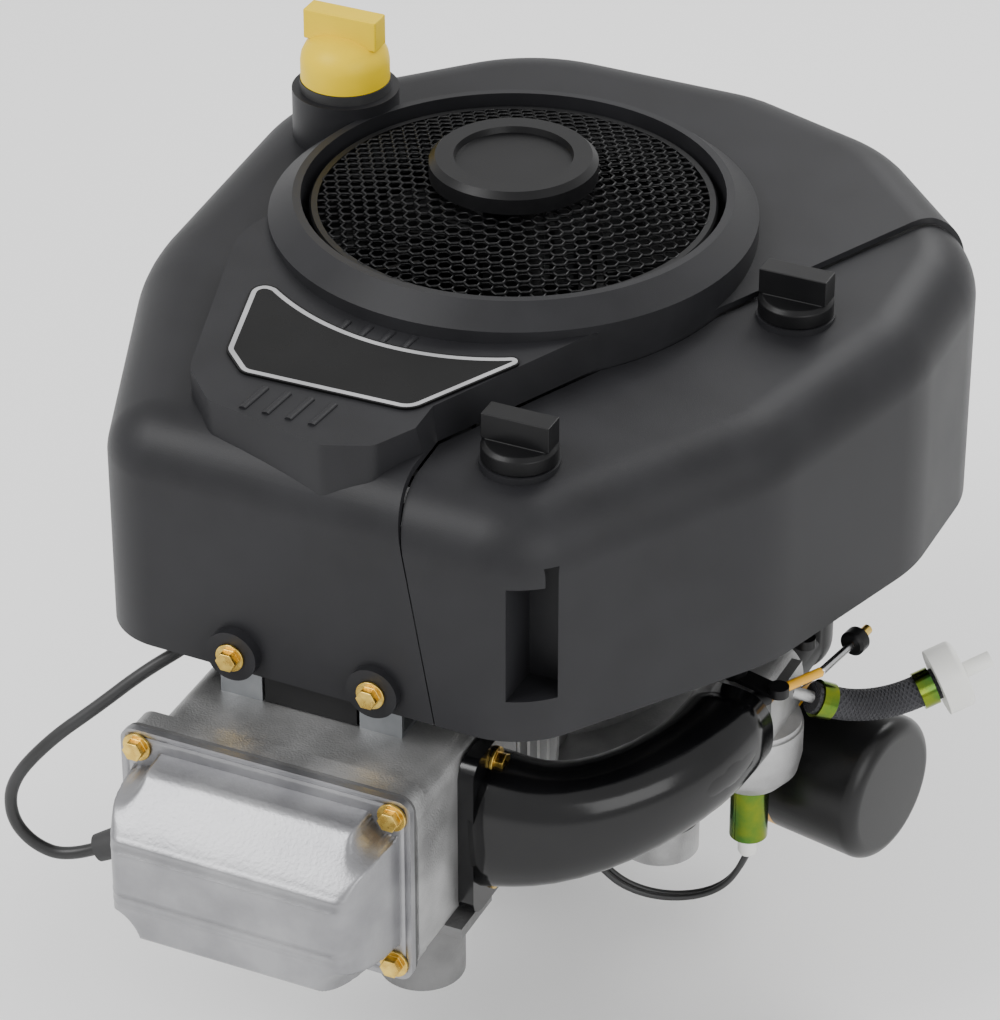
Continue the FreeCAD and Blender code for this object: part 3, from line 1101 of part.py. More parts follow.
def add_intake():
    route = [Vector(*spot) for spot in INTAKE_ROUTE]
    path, radii = cord_path(INTAKE_ROUTE)
    heading = (route[1] - route[0]).normalize()
    outer = path.makePipeShell([Part.Wire([Part.Circle(route[0], heading, size("elbow_radius")).toShape()])],
                               True, False)
    inner_radius = size("elbow_radius") - size("elbow_wall")
    inner = path.makePipeShell([Part.Wire([Part.Circle(route[0], heading, inner_radius).toShape()])],
                               True, False)
    flange = rounded_prism([(-214, 46, 10), (-166, 46, 10), (-166, 134, 10), (-214, 134, 10)],
                           0, size("elbow_flange_thickness"))
    flange.rotate(Vector(), Vector(0, 0, 1), 90)
    flange.rotate(Vector(), Vector(0, 1, 0), 90)
    box = flange.BoundBox
    middle = Vector(size("fin_right") + size("elbow_flange_thickness") / 2, -size("intake_bolt_y"),
                    size("intake_mid_z"))
    flange.translate(middle - Vector(box.Center))
    body = outer.fuse(flange).cut(inner)
    clear = Part.makeCylinder(inner_radius, 20, Vector(size("fin_right") - 5, -190, 90), Vector(1, 0, 0))
    body = body.cut(clear)
    end_y = size("carb_y") - size("throat_length") / 2
    face_cut = Part.makeBox(100, 60, 100, Vector(110, end_y, 60))
    body = body.cut(face_cut)
    piece("intake_elbow", made(biggest(body.removeSplitter())))


def add_carburettor():
    half = "throat_length/2"
    throat = rod("throat_radius", "throat_length", ("carb_x", "carb_y - " + half, "carb_z"), "y")
    block = box(("carb_x - carb_block_width/2", "carb_y - carb_block_length/2 + 2",
                 "carb_z - carb_block_height/2 - 2"),
                ("carb_x + carb_block_width/2", "carb_y + carb_block_length/2 - 2",
                 "carb_z + carb_block_height/2"))
    roof = rod("bowl_radius - 1", 3, ("carb_x", "carb_y", "bowl_high"))
    inlet = made(nipple())
    bore = rod("throat_bore", "throat_length", ("carb_x", "carb_y - " + half, "carb_z"), "y")
    pins = [rod("lever_pin", height + " + 6 - carb_z", ("carb_x - 4", "carb_y " + shift, "carb_z + 0.01"))
            for shift, height in (("- lever_offset", "throttle_height"), ("+ lever_offset", "choke_height"))]
    piece("carburettor", cut(fuse(throat, block, roof, inlet, *pins), bore))
    bowl = turned([(0, "bowl_low"), ("bowl_radius - 9", "bowl_low"), ("bowl_radius - 2", "bowl_low + 8"),
                   ("bowl_radius", "bowl_low + 18"), ("bowl_radius", "bowl_high"),
                   ("bowl_radius - 2", "bowl_high"), ("bowl_radius - 2", "bowl_low + 18"),
                   ("bowl_radius - 4", "bowl_low + 9"), ("bowl_radius - 10", "bowl_low + 2"), (0, "bowl_low + 2")],
                  ("carb_x", "carb_y", 0))
    piece("float_bowl", bowl)
    solenoid = turned([(0, "connector_low"), ("connector_radius - 1", "connector_low"),
                       ("connector_radius", "connector_low + 2"), ("connector_radius", "solenoid_low"),
                       ("solenoid_radius", "solenoid_low"), ("solenoid_radius", "bowl_low"), (0, "bowl_low")],
                      ("carb_x", "carb_y", 0))
    piece("fuel_solenoid", solenoid)
    offset = size("lever_offset")
    for name, shift, turn in (("throttle", -offset, -15), ("choke", offset, -10)):
        centre = Vector(size("carb_x") - 4, size("carb_y") + shift, size(name + "_height"))
        arm = Part.makeBox(size("lever_length"), size("lever_width"), size("lever_thickness"),
                           Vector(0, -size("lever_width") / 2, 0))
        hub = Part.makeCylinder(size("lever_width") / 2 + 1, size("lever_thickness") + 4)
        end = Part.makeCylinder(size("lever_width") / 2, size("lever_thickness") + 3,
                                Vector(size("lever_length"), 0, 0))
        lever = arm.fuse(hub).fuse(end)
        lever = lever.cut(Part.makeCylinder(size("lever_pin") + size("running_gap"), 20, Vector(0, 0, -5)))
        lever.rotate(Vector(), Vector(0, 0, 1), turn)
        lever.translate(centre)
        piece(name + "_lever", made(lever.removeSplitter()))


HOSE_ROUTE = [(183.5, -51.7, 102.5), (193.4, -43.6, 96.3), (203.3, -35.4, 93.1), (213.2, -27.3, 92.7),
              (223, -19.2, 95), (232.9, -11.1, 99.7)]


def add_fuel_line():
    piece("fuel_hose", made(tube_along(HOSE_ROUTE, size("hose_radius"), "fuel_hose")
                            .cut(nipple())))
    start = Vector(*HOSE_ROUTE[0])
    first = (Vector(*HOSE_ROUTE[1]) - start).normalize()
    end = Vector(*HOSE_ROUTE[-1])
    last = (end - Vector(*HOSE_ROUTE[-2])).normalize()
    clamps = []
    for spot, heading in ((start + first * 2, first), (end - last * (size("clamp_width") + 2), last)):
        band_radius = size("hose_radius") + size("clamp_wall")
        outer = Part.makeCylinder(band_radius, size("clamp_width"), spot, heading)
        inner = Part.makeCylinder(size("hose_radius"), size("clamp_width"), spot, heading)
        clamps.append(outer.cut(inner))
    piece("hose_clamps", made(Part.makeCompound(clamps)))
    filter_body = Part.makeCylinder(size("fuel_filter_radius"), size("fuel_filter_width"), end, last)
    filter_body = filter_body.makeFillet(3, filter_body.Edges[:1])
    face = end + last * size("fuel_filter_width")
    neck = Part.makeCylinder(size("nipple_radius") + 0.5, size("filter_undercut"), face, last)
    outlet = Part.makeCylinder(size("nipple_radius") + 1, 14, face + last * size("filter_undercut"), last)
    piece("fuel_filter", made(filter_body.fuse(neck).fuse(outlet).removeSplitter()))


def nipple():
    """The carburettor's fuel inlet, which the hose is pushed over."""
    start = Vector(*HOSE_ROUTE[0])
    heading = (Vector(*HOSE_ROUTE[1]) - start).normalize()
    return Part.makeCylinder(size("nipple_radius"), 20, start - heading * 12, heading)


# ================================================================ oil system
OIL_TUBE_ROUTE = [(-96, 44, 34), (-112, 52, 46), (-118, 55, 66), (-118, 55, 90)]


def add_oil_system():
    route = OIL_TUBE_ROUTE
    top = size("neck_high")
    start = Vector(*route[0])
    heading = (Vector(*route[1]) - start).normalize()
    path = cord_path(route)[0]
    parts = []
    for radius in (size("tube_radius"), size("tube_radius") - 1.5):
        low = path.makePipeShell([Part.Wire([Part.Circle(start, heading, radius).toShape()])], True, False)
        upright = Part.makeCylinder(radius, top - route[-1][2], Vector(*route[-1]))
        parts.append(low.fuse(upright))
    tube = parts[0].cut(parts[1])
    inside = Part.makeCylinder(size("sump_radius"), size("sump_height") + 2 * size("flange_height"))
    for turn in case_bolt_turns():
        spot = case_bolt_spot(turn)
        inside = inside.fuse(Part.makeCylinder(size("bolt_lug_radius"), 70, spot))
    foot = Part.makeBox(90, 90, 10, Vector(size("foot_x"), 0, 0))
    piece("oil_fill_tube", made(biggest(tube.cut(inside).cut(foot).removeSplitter())))
    x, y = "neck_x", "neck_y"
    piece("cap_seal", disc_with_holes([("cap_seal_radius", 0, 0), ("tube_radius - 1.4", 0, 0)],
                                      "cap_seal_height", (x, y, "neck_high")))
    seat = "neck_high + cap_seal_height + 0.2"
    disc = turned([(0, 0), ("oil_cap_radius", 0), ("oil_cap_radius", "oil_cap_height - 6"),
                   ("oil_cap_radius - 4", "oil_cap_height"), (0, "oil_cap_height")], (x, y, seat))
    grip = padded([[("-oil_cap_radius", "-oil_cap_grip_width/2"), ("oil_cap_radius", "-oil_cap_grip_width/2"),
                    ("oil_cap_radius", "oil_cap_grip_width/2"), ("-oil_cap_radius", "oil_cap_grip_width/2")]],
                  "oil_cap_grip", (x, y, seat + " + oil_cap_height"))
    plug = rod("tube_radius - 1.6", "cap_seal_height + 14.2", (x, y, "neck_high - 14"))
    blade = box(("neck_x - dipstick_width/2", "neck_y - dipstick_thickness/2", "neck_high - 14 - dipstick_length"),
                ("neck_x + dipstick_width/2", "neck_y + dipstick_thickness/2", "neck_high - 13"))
    piece("oil_cap", fuse(disc, grip, plug, blade))
    near, heading = filter_place()
    can = Part.makeCylinder(size("filter_can_radius"), size("filter_can_length"), near, heading)
    can = can.makeFillet(8, [edge for edge in can.Edges
                             if (edge.CenterOfMass - near).dot(heading) > size("filter_can_length") - 1])
    piece("oil_filter", made(can))


# ================================================================ ignition, starter, exhaust, controls
LEAD_ROUTE = [(-66.5, -145, 181), (-66, -162, 171), (-68, -178, 156), (-84, -190, 141.5), (-103, -201, 127.5),
              (-122, -213, 109.5), (-143, -224, 91), (-162, -231.5, 66), (-163.5, -232, 44),
              (-153, -229.8, 29.2), (-136.7, -225.4, 23.3)]


def add_ignition():
    boot_end = add_plug()
    route = LEAD_ROUTE + [tuple(boot_end)]
    piece("spark_lead", made(tube_along(route, size("lead_radius"), "spark_lead")))
    turn = math.radians(size("coil_turn"))
    out = Vector(math.cos(turn), math.sin(turn), 0)
    core = Part.makeBox(size("coil_length"), size("coil_width"), size("coil_height"),
                        Vector(size("coil_start") + 10, -size("coil_width") / 2, size("coil_low")))
    core.rotate(Vector(), Vector(0, 0, 1), size("coil_turn"))
    core = core.cut(Part.makeCylinder(size("ring_gear_outer") + 3, 100, Vector(0, 0, size("coil_low") - 10)))
    core = core.common(Part.makeBox(600, 600, 600, Vector(-300, -209, 0)))
    leg = Part.makeBox(16, 10, size("coil_low") - size("case_top") + 4,
                       Vector(out.x * 120 - 8, out.y * 120 - 5, size("case_top") - 2))
    piece("ignition_coil", made(core.fuse(leg).removeSplitter()))


def add_starter():
    x, y = size("starter_x"), size("starter_y")
    low, high = size("starter_low"), size("starter_high")
    body = Part.makeCylinder(size("starter_radius"), 92, Vector(x, y, low))
    nose = Part.makeCylinder(size("starter_radius") - 12, 4, Vector(x, y, low + 92))
    shaft = Part.makeCylinder(size("starter_shaft"), 38, Vector(x, y, low + 92))
    case_form = Part.makeCylinder(size("case_radius") + size("wall_gap"), 300, Vector(0, 0, 0))
    body = body.cut(case_form)
    plate = Part.makeBox(44, 16, 30, Vector(x - 22, y - 36, low + 20))
    plate.rotate(Vector(x, y, 0), Vector(0, 0, 1), math.degrees(math.atan2(y, x)) - 90)
    plate = plate.cut(Part.makeCylinder(size("case_radius"), 300))
    piece("starter_motor", made(biggest(body.multiFuse([nose, shaft, plate]).removeSplitter())))
    teeth = int(size("pinion_teeth"))
    pinion = gear_shape(teeth, 2.3, size("pinion_width"), 0, size("starter_shaft") + size("running_gap"))
    pinion.translate(Vector(x, y, size("pinion_low")))
    piece("starter_pinion", made(pinion))


def add_outlet():
    base = Part.makeCylinder(size("outlet_radius"), 36, Vector(size("outlet_x"), size("outlet_y") - 26,
                                                               size("outlet_low")))
    base = base.cut(Part.makeCylinder(size("outlet_bore"), 30, Vector(size("outlet_x"), size("outlet_y") - 26,
                                                                      size("outlet_low"))))
    base = base.fuse(Part.makeBox(2 * size("outlet_radius") + 16, 34, 6,
                                  Vector(size("outlet_x") - size("outlet_radius") - 8, size("outlet_y") - 43,
                                         size("outlet_low") + 36)))
    piece("exhaust_outlet", made(base.removeSplitter()))


def add_controls():
    x, y, z = (size("control_" + axis) for axis in "xyz")
    top = size("tray_top") - size("tray_thickness")
    arm = Part.makeBox(14, 3, top - z + 4, Vector(x - 7, y, z - 4))
    foot = Part.makeBox(14, 30, 3, Vector(x - 7, y - 27, top - 3))
    pin = Part.makeCylinder(size("lever_pin"), 14, Vector(x, y, z), Vector(0, -1, 0))
    piece("control_bracket", made(arm.multiFuse([foot, pin]).removeSplitter()))
    lever = Part.makeBox(8, 3, 26, Vector(x - 4, y - 7, z))
    hub = Part.makeCylinder(7, 6, Vector(x, y - 4, z), Vector(0, -1, 0))
    lever = lever.fuse(hub).cut(Part.makeCylinder(size("lever_pin") + size("running_gap"), 30,
                                                  Vector(x, y + 10, z), Vector(0, -1, 0)))
    piece("control_lever", made(lever.removeSplitter()))


WIRE_ROUTE = [(160, -70, 14), (156, -73, 1), (146, -80, -8), (130, -88, -11), (113, -95, -8), (99, -101, 2),
              (92, -104, 14)]


def add_wires():
    wires = []
    for shift in (-1.8, 1.8):
        route = [(x, y + shift, z) for x, y, z in WIRE_ROUTE]
        wires.append(tube_along(route, size("wire_radius"), "solenoid_wire"))
    piece("solenoid_wires", made(Part.makeCompound(wires)))


# ================================================================ build, check and write
def main():
    add_crankshaft()
    add_piston_group()
    add_timing()
    add_sump()
    add_block()
    add_seals()
    head_gasket = add_head()
    add_valve_train()
    add_valve_cover(head_gasket)
    add_flange_bolts()
    add_housing()
    add_knobs()
    add_air_cleaner()
    add_brackets()
    add_nameplate()
    add_rotor()
    add_intake()
    add_carburettor()
    add_fuel_line()
    add_oil_system()
    add_ignition()
    add_starter()
    add_outlet()
    add_controls()
    add_wires()
    doc.recompute()
    bad = [thing.Name for thing in doc.Objects if {"Invalid", "Error"} & set(thing.State)]
    bad += [thing.Label for thing in pieces if thing.Shape.isNull() or not thing.Shape.isValid()]
    if bad:
        raise RuntimeError("failed: %s" % ", ".join(bad))
    os.makedirs("parts", exist_ok=True)
    for thing in pieces:
        thing.Shape.exportStep("parts/%s.step" % thing.Label)
        print("%-22s solids %d volume %.0f" % (thing.Label, len(thing.Shape.Solids), thing.Shape.Volume))
    print(len(pieces), "pieces")


main()
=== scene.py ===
import json
import math

import bmesh
import bpy
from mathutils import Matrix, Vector


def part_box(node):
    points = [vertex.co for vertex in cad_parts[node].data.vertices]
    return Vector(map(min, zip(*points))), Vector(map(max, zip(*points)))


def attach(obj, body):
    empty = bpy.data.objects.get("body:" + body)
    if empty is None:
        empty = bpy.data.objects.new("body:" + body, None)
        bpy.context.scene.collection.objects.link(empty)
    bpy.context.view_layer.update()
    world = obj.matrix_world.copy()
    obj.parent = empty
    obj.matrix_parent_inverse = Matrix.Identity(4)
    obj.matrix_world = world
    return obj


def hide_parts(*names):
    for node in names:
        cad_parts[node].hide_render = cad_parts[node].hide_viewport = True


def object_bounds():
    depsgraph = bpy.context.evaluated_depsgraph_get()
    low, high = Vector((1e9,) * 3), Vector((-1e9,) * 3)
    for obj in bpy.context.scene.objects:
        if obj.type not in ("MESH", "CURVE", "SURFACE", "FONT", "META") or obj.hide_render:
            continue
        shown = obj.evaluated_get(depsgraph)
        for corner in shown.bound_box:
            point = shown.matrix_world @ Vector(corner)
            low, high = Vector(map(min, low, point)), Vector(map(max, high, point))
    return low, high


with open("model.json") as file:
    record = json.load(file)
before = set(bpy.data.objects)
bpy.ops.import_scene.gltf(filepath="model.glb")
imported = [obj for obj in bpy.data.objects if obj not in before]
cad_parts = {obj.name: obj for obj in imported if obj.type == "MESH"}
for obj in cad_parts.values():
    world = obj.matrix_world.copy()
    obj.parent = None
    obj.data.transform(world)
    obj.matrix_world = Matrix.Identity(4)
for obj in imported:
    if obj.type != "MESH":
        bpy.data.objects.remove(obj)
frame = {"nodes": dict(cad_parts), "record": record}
cad_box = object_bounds()
record = frame["record"]


# ---------------------------------------------------------------- crankcase, cylinder and head
# Sand-blasted aluminium castings: the sump with its mounting feet, the finned cylinder block and the
# head with its rocker box. They are bolted together and left bare, with a fine pebbled skin.
def node_group(name, kind, inputs, outputs):
    """An empty node group with named sockets, each given with its type, and its input and output nodes."""
    group = bpy.data.node_groups.new(name, kind)
    for direction, sockets in (("INPUT", inputs), ("OUTPUT", outputs)):
        for word, value_type in sockets.items():
            group.interface.new_socket(word, in_out=direction, socket_type="NodeSocket" + value_type)
    return group, group.nodes.new("NodeGroupInput"), group.nodes.new("NodeGroupOutput")


def surface_variation():
    """Shader group shared by every finish: broad mottling, fine grain and the height of that grain."""
    group, given, result = node_group(
        "surface_variation", "ShaderNodeTree",
        {"Vector": "Vector", "Light Color": "Color", "Dark Color": "Color", "Mottle Scale": "Float",
         "Grain Scale": "Float", "Smooth": "Float", "Rough": "Float"},
        {"Color": "Color", "Roughness": "Float", "Height": "Float"})
    nodes, links = group.nodes, group.links
    mottle = nodes.new("ShaderNodeTexNoise")
    mottle.inputs["Detail"].default_value = 5
    grain = nodes.new("ShaderNodeTexNoise")
    grain.inputs["Detail"].default_value = 3
    for texture, word in ((mottle, "Mottle Scale"), (grain, "Grain Scale")):
        links.new(given.outputs["Vector"], texture.inputs["Vector"])
        links.new(given.outputs[word], texture.inputs["Scale"])
    spread = nodes.new("ShaderNodeMapRange")
    spread.inputs["From Min"].default_value = 0.35
    spread.inputs["From Max"].default_value = 0.65
    links.new(mottle.outputs["Fac"], spread.inputs["Value"])
    tone = nodes.new("ShaderNodeMix")
    tone.data_type = "RGBA"
    links.new(spread.outputs["Result"], tone.inputs["Factor"])
    links.new(given.outputs["Dark Color"], tone.inputs["A"])
    links.new(given.outputs["Light Color"], tone.inputs["B"])
    gloss = nodes.new("ShaderNodeMapRange")
    links.new(mottle.outputs["Fac"], gloss.inputs["Value"])
    links.new(given.outputs["Smooth"], gloss.inputs["To Min"])
    links.new(given.outputs["Rough"], gloss.inputs["To Max"])
    links.new(tone.outputs["Result"], result.inputs["Color"])
    links.new(gloss.outputs["Result"], result.inputs["Roughness"])
    links.new(grain.outputs["Fac"], result.inputs["Height"])
    return group


variation = surface_variation()


def finish(name, light, dark, roughness, grain_scale, grain_depth, metallic=0.0, mottle_scale=30,
           shine=0.5):
    """A material whose colour, gloss and grain vary over the surface between the two given values."""
    material = bpy.data.materials.new(name)
    material.use_nodes = True
    nodes, links = material.node_tree.nodes, material.node_tree.links
    shader = nodes["Principled BSDF"]
    shader.inputs["Metallic"].default_value = metallic
    shader.inputs["Specular IOR Level"].default_value = shine
    place = nodes.new("ShaderNodeTexCoord")
    vary = nodes.new("ShaderNodeGroup")
    vary.node_tree = variation
    links.new(place.outputs["Object"], vary.inputs["Vector"])
    vary.inputs["Light Color"].default_value = (*light, 1)
    vary.inputs["Dark Color"].default_value = (*dark, 1)
    vary.inputs["Mottle Scale"].default_value = mottle_scale
    vary.inputs["Grain Scale"].default_value = grain_scale
    vary.inputs["Smooth"].default_value, vary.inputs["Rough"].default_value = roughness
    bump = nodes.new("ShaderNodeBump")
    bump.inputs["Strength"].default_value = 0.6
    bump.inputs["Distance"].default_value = grain_depth
    links.new(vary.outputs["Color"], shader.inputs["Base Color"])
    links.new(vary.outputs["Roughness"], shader.inputs["Roughness"])
    links.new(vary.outputs["Height"], bump.inputs["Height"])
    links.new(bump.outputs["Normal"], shader.inputs["Normal"])
    return material


def body_with(node):
    """The name of the moving body that holds a CAD node."""
    return next(body for body, nodes in record["behaviour"]["bodies"].items() if node in nodes)


def placed(piece, node, *materials):
    """Gives a new piece its materials, and lets it stand for the CAD node that it is made from."""
    for material in materials:
        piece.data.materials.append(material)
    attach(piece, body_with(node))
    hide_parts(node)
    return piece


def shaded(form, crease):
    """Smooths a form's faces and keeps every edge sharper than the crease angle, in degrees, crisp."""
    for face in form.faces:
        face.smooth = True
    for edge in form.edges:
        edge.smooth = len(edge.link_faces) == 2 and edge.calc_face_angle() < math.radians(crease)


def refined(node, material, crease=32, edge_round=0.0):
    """A merged, smooth-shaded copy of a CAD node. Its creases stay crisp, or are rounded by edge_round."""
    merge_reach = 0.000005
    flat_angle = math.radians(2)
    mesh = frame["nodes"][node].data.copy()
    mesh.name = node + "_finished"
    mesh.materials.clear()
    form = bmesh.new()
    form.from_mesh(mesh)
    bmesh.ops.remove_doubles(form, verts=form.verts, dist=merge_reach)
    if edge_round:
        bmesh.ops.dissolve_limit(form, angle_limit=flat_angle, verts=form.verts, edges=form.edges)
    shaded(form, crease)
    form.to_mesh(mesh)
    form.free()
    piece = bpy.data.objects.new(node + "_finished", mesh)
    bpy.context.scene.collection.objects.link(piece)
    if edge_round:
        soften = piece.modifiers.new("soften", "BEVEL")
        soften.width = edge_round
        soften.segments = 3
        soften.limit_method = "ANGLE"
        soften.angle_limit = math.radians(crease)
        soften.harden_normals = True
    return placed(piece, node, material)


cast_metal = finish("blasted_aluminium", light=(0.50, 0.50, 0.50), dark=(0.30, 0.30, 0.30),
                    roughness=(0.34, 0.55), grain_scale=900, grain_depth=0.0004, metallic=0.85)
for casting in ("sump", "cylinder_block", "cylinder_head"):
    refined(casting, cast_metal)
gasket_fibre = finish("gasket_fibre", light=(0.10, 0.10, 0.10), dark=(0.05, 0.05, 0.05),
                      roughness=(0.7, 0.9), grain_scale=1500, grain_depth=0.0001)
refined("gaskets", gasket_fibre)


# ---------------------------------------------------------------- running gear inside the engine
# Ground steel shafts, gears, rod and valve train, with a cast piston and flywheel. Nearly all of it is
# sealed inside, and only the output end of the shaft stands out below. The seals and the boot over the
# spark plug are moulded rubber.
ground_steel = finish("ground_steel", light=(0.62, 0.62, 0.63), dark=(0.45, 0.45, 0.46),
                      roughness=(0.18, 0.32), grain_scale=1400, grain_depth=0.00005, metallic=1.0)
for part in ("crankshaft", "crankpin", "crank_gear", "camshaft", "piston_rings", "wrist_pin",
             "connecting_rod", "rocker_shaft", "intake_rocker", "exhaust_rocker", "intake_pushrod",
             "exhaust_pushrod", "intake_valve", "exhaust_valve", "valve_springs", "ring_gear",
             "starter_pinion"):
    refined(part, ground_steel)
for part in ("piston", "flywheel"):
    refined(part, cast_metal)
seal_rubber = finish("seal_rubber", light=(0.035, 0.035, 0.036), dark=(0.015, 0.015, 0.015),
                     roughness=(0.5, 0.7), grain_scale=900, grain_depth=0.0001)
for part in ("oil_seals", "cap_seal", "spark_plug_boot"):
    refined(part, seal_rubber)
refined("spark_plug", ground_steel)


# ---------------------------------------------------------------- valve cover
# A bright die casting with a stepped flange and a domed front, tumbled smooth. Four bolts hold it to
# the head; its raised lettering is left off.
bright_casting = finish("bright_die_casting", light=(0.36, 0.36, 0.37), dark=(0.25, 0.25, 0.26),
                        roughness=(0.30, 0.50), grain_scale=520, grain_depth=0.00025, metallic=0.92)
cover_low, cover_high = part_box("valve_cover")
flange_thickness = 0.004
front_margin = 0.001
seat_y = cover_high[1]
flange_front = seat_y - flange_thickness
dome_depth = flange_front - cover_low[1] - front_margin
bolt_inset = 0.009
cover_bolts = [(x, z) for x in (cover_low[0] + bolt_inset, cover_high[0] - bolt_inset)
               for z in (cover_low[2] + bolt_inset, cover_high[2] - bolt_inset)]


def cover_front(x, z):
    """How far the casting stands out from its flange: a dome drawn in round the bolts, sloped on top."""
    side_gap, top_gap, low_gap, bolt_gap = 0.007, 0.010, 0.006, 0.0115
    wall_width = 0.013
    brow_depth, brow_slope = 0.014, 1.15
    blend = 0.003
    bead_heights, bead_depth, bead_width = (0.103, 0.108, 0.074, 0.079), 0.0007, 0.0009
    groove_depth, groove_inset, groove_width = 0.0006, 0.0035, 0.0007
    inward = min(x - cover_low[0] - side_gap, cover_high[0] - side_gap - x,
                 z - cover_low[2] - low_gap, cover_high[2] - top_gap - z)
    for bolt_x, bolt_z in cover_bolts:
        inward = min(inward, math.hypot(x - bolt_x, z - bolt_z) - bolt_gap)
    share = min(max(inward / wall_width, 0), 1)
    wall = dome_depth * math.sqrt(1 - (1 - share) ** 2)
    slope = brow_depth + (cover_high[2] - top_gap - z) * brow_slope
    depth = -blend * math.log(math.exp(-wall / blend) + math.exp(-slope / blend))
    for bead in bead_heights:
        depth += bead_depth * share * math.exp(-((z - bead) / bead_width) ** 2)
    rim = min(x - cover_low[0], cover_high[0] - x, z - cover_low[2], cover_high[2] - z)
    groove = groove_depth * math.exp(-((rim - groove_inset) / groove_width) ** 2)
    return max(depth, 0) - groove


def piece_from(form, name):
    """Turns a finished bmesh into a piece of the scene."""
    mesh = bpy.data.meshes.new(name)
    form.to_mesh(mesh)
    form.free()
    piece = bpy.data.objects.new(name, mesh)
    bpy.context.scene.collection.objects.link(piece)
    return piece


def cover_casting(columns=170, rows=115):
    """The cover as a fine grid over its rounded flange, pushed out by cover_front and closed behind."""
    form = bmesh.new()
    corner = 0.007
    cover_crease = 50
    width, height = cover_high[0] - cover_low[0], cover_high[2] - cover_low[2]
    grid = []
    for row in range(rows + 1):
        line = []
        for column in range(columns + 1):
            x = cover_low[0] + width * column / columns
            z = cover_low[2] + height * row / rows
            near_x = min(max(x, cover_low[0] + corner), cover_high[0] - corner)
            near_z = min(max(z, cover_low[2] + corner), cover_high[2] - corner)
            away = math.hypot(x - near_x, z - near_z)
            if away > corner:
                x = near_x + (x - near_x) * corner / away
                z = near_z + (z - near_z) * corner / away
            line.append(form.verts.new((x, flange_front - cover_front(x, z), z)))
        grid.append(line)
    for row in range(rows):
        for column in range(columns):
            form.faces.new((grid[row][column], grid[row][column + 1], grid[row + 1][column + 1],
                            grid[row + 1][column]))
    right_side = [line[-1] for line in grid[1:]]
    left_side = [line[0] for line in grid[-2:0:-1]]
    border = grid[0] + right_side + grid[-1][-2::-1] + left_side
    seat = [form.verts.new((spot.co.x, seat_y, spot.co.z)) for spot in border]
    for index in range(len(border)):
        after = (index + 1) % len(border)
        form.faces.new((border[after], border[index], seat[index], seat[after]))
    form.faces.new(list(reversed(seat)))
    bmesh.ops.recalc_face_normals(form, faces=form.faces)
    shaded(form, cover_crease)
    return piece_from(form, "valve_cover_casting")


placed(cover_casting(), "valve_cover", bright_casting)


# ---------------------------------------------------------------- flange bolts
# Hex bolts with a washer flange, forged in steel and plated yellow. They hold the valve cover, the head,
# the sump and the blower housing.
yellow_zinc = finish("yellow_zinc", light=(0.82, 0.58, 0.14), dark=(0.52, 0.33, 0.07),
                     roughness=(0.18, 0.38), grain_scale=700, grain_depth=0.0001, metallic=1.0,
                     mottle_scale=160)
refined("flange_bolts", yellow_zinc, edge_round=0.0005)


# ---------------------------------------------------------------- blower housing and air cleaner cover
# Two charcoal mouldings with a fine spark-eroded skin. The housing carries the fan ring and filler neck,
# and the cover lifts off once its two quarter-turn knobs are loosened. The knobs, tray, fan, coil and
# levers are plain black, round a filter of pleated paper.
charcoal = finish("charcoal_moulding", light=(0.0155, 0.0155, 0.0175), dark=(0.0115, 0.0115, 0.0130),
                  roughness=(0.40, 0.52), grain_scale=2600, grain_depth=0.00012, shine=0.25)
moulding_crease = 28
for part in ("blower_housing", "air_cleaner_cover"):
    refined(part, charcoal, moulding_crease)
black_moulding = finish("black_moulding", light=(0.006, 0.006, 0.0065), dark=(0.0035, 0.0035, 0.004),
                        roughness=(0.30, 0.45), grain_scale=1800, grain_depth=0.00008, shine=0.22)
for part in ("knob_front", "knob_rear"):
    refined(part, black_moulding, edge_round=0.0022)
for part in ("air_cleaner_base", "cooling_fan", "screen_cap", "ignition_coil",
             "throttle_lever", "choke_lever", "control_lever", "air_guide"):
    refined(part, black_moulding)
filter_paper = finish("filter_paper", light=(0.82, 0.78, 0.64), dark=(0.70, 0.65, 0.50),
                      roughness=(0.8, 0.95), grain_scale=1200, grain_depth=0.0001)
refined("air_filter", filter_paper)


# ---------------------------------------------------------------- name panel
# A thin gloss panel on the pad of the housing, whose rear edge follows the fan ring. It is black and
# blank, with a silver line just inside its edge.
panel_black = finish("panel_black", light=(0.004, 0.004, 0.0042), dark=(0.0025, 0.0025, 0.0025),
                     roughness=(0.22, 0.32), grain_scale=600, grain_depth=0.00001, shine=0.2)
silver_line = finish("silver_line", light=(0.50, 0.50, 0.51), dark=(0.40, 0.40, 0.41),
                     roughness=(0.35, 0.45), grain_scale=600, grain_depth=0.00001, metallic=0.6)
plateau_slope = math.radians(5.2)
plateau_height = 0.308


def arc(centre, start, end, steps):
    """Points that swing about a centre from one point to another, the shorter way."""
    first, last = start - centre, end - centre
    from_turn = math.atan2(first.y, first.x)
    sweep = (math.atan2(last.y, last.x) - from_turn + math.pi) % (2 * math.pi) - math.pi
    points = []
    for step in range(steps + 1):
        share = step / steps
        radius = first.length * (1 - share) + last.length * share
        turn = from_turn + sweep * share
        points.append(centre + Vector((math.cos(turn), math.sin(turn))) * radius)
    return points


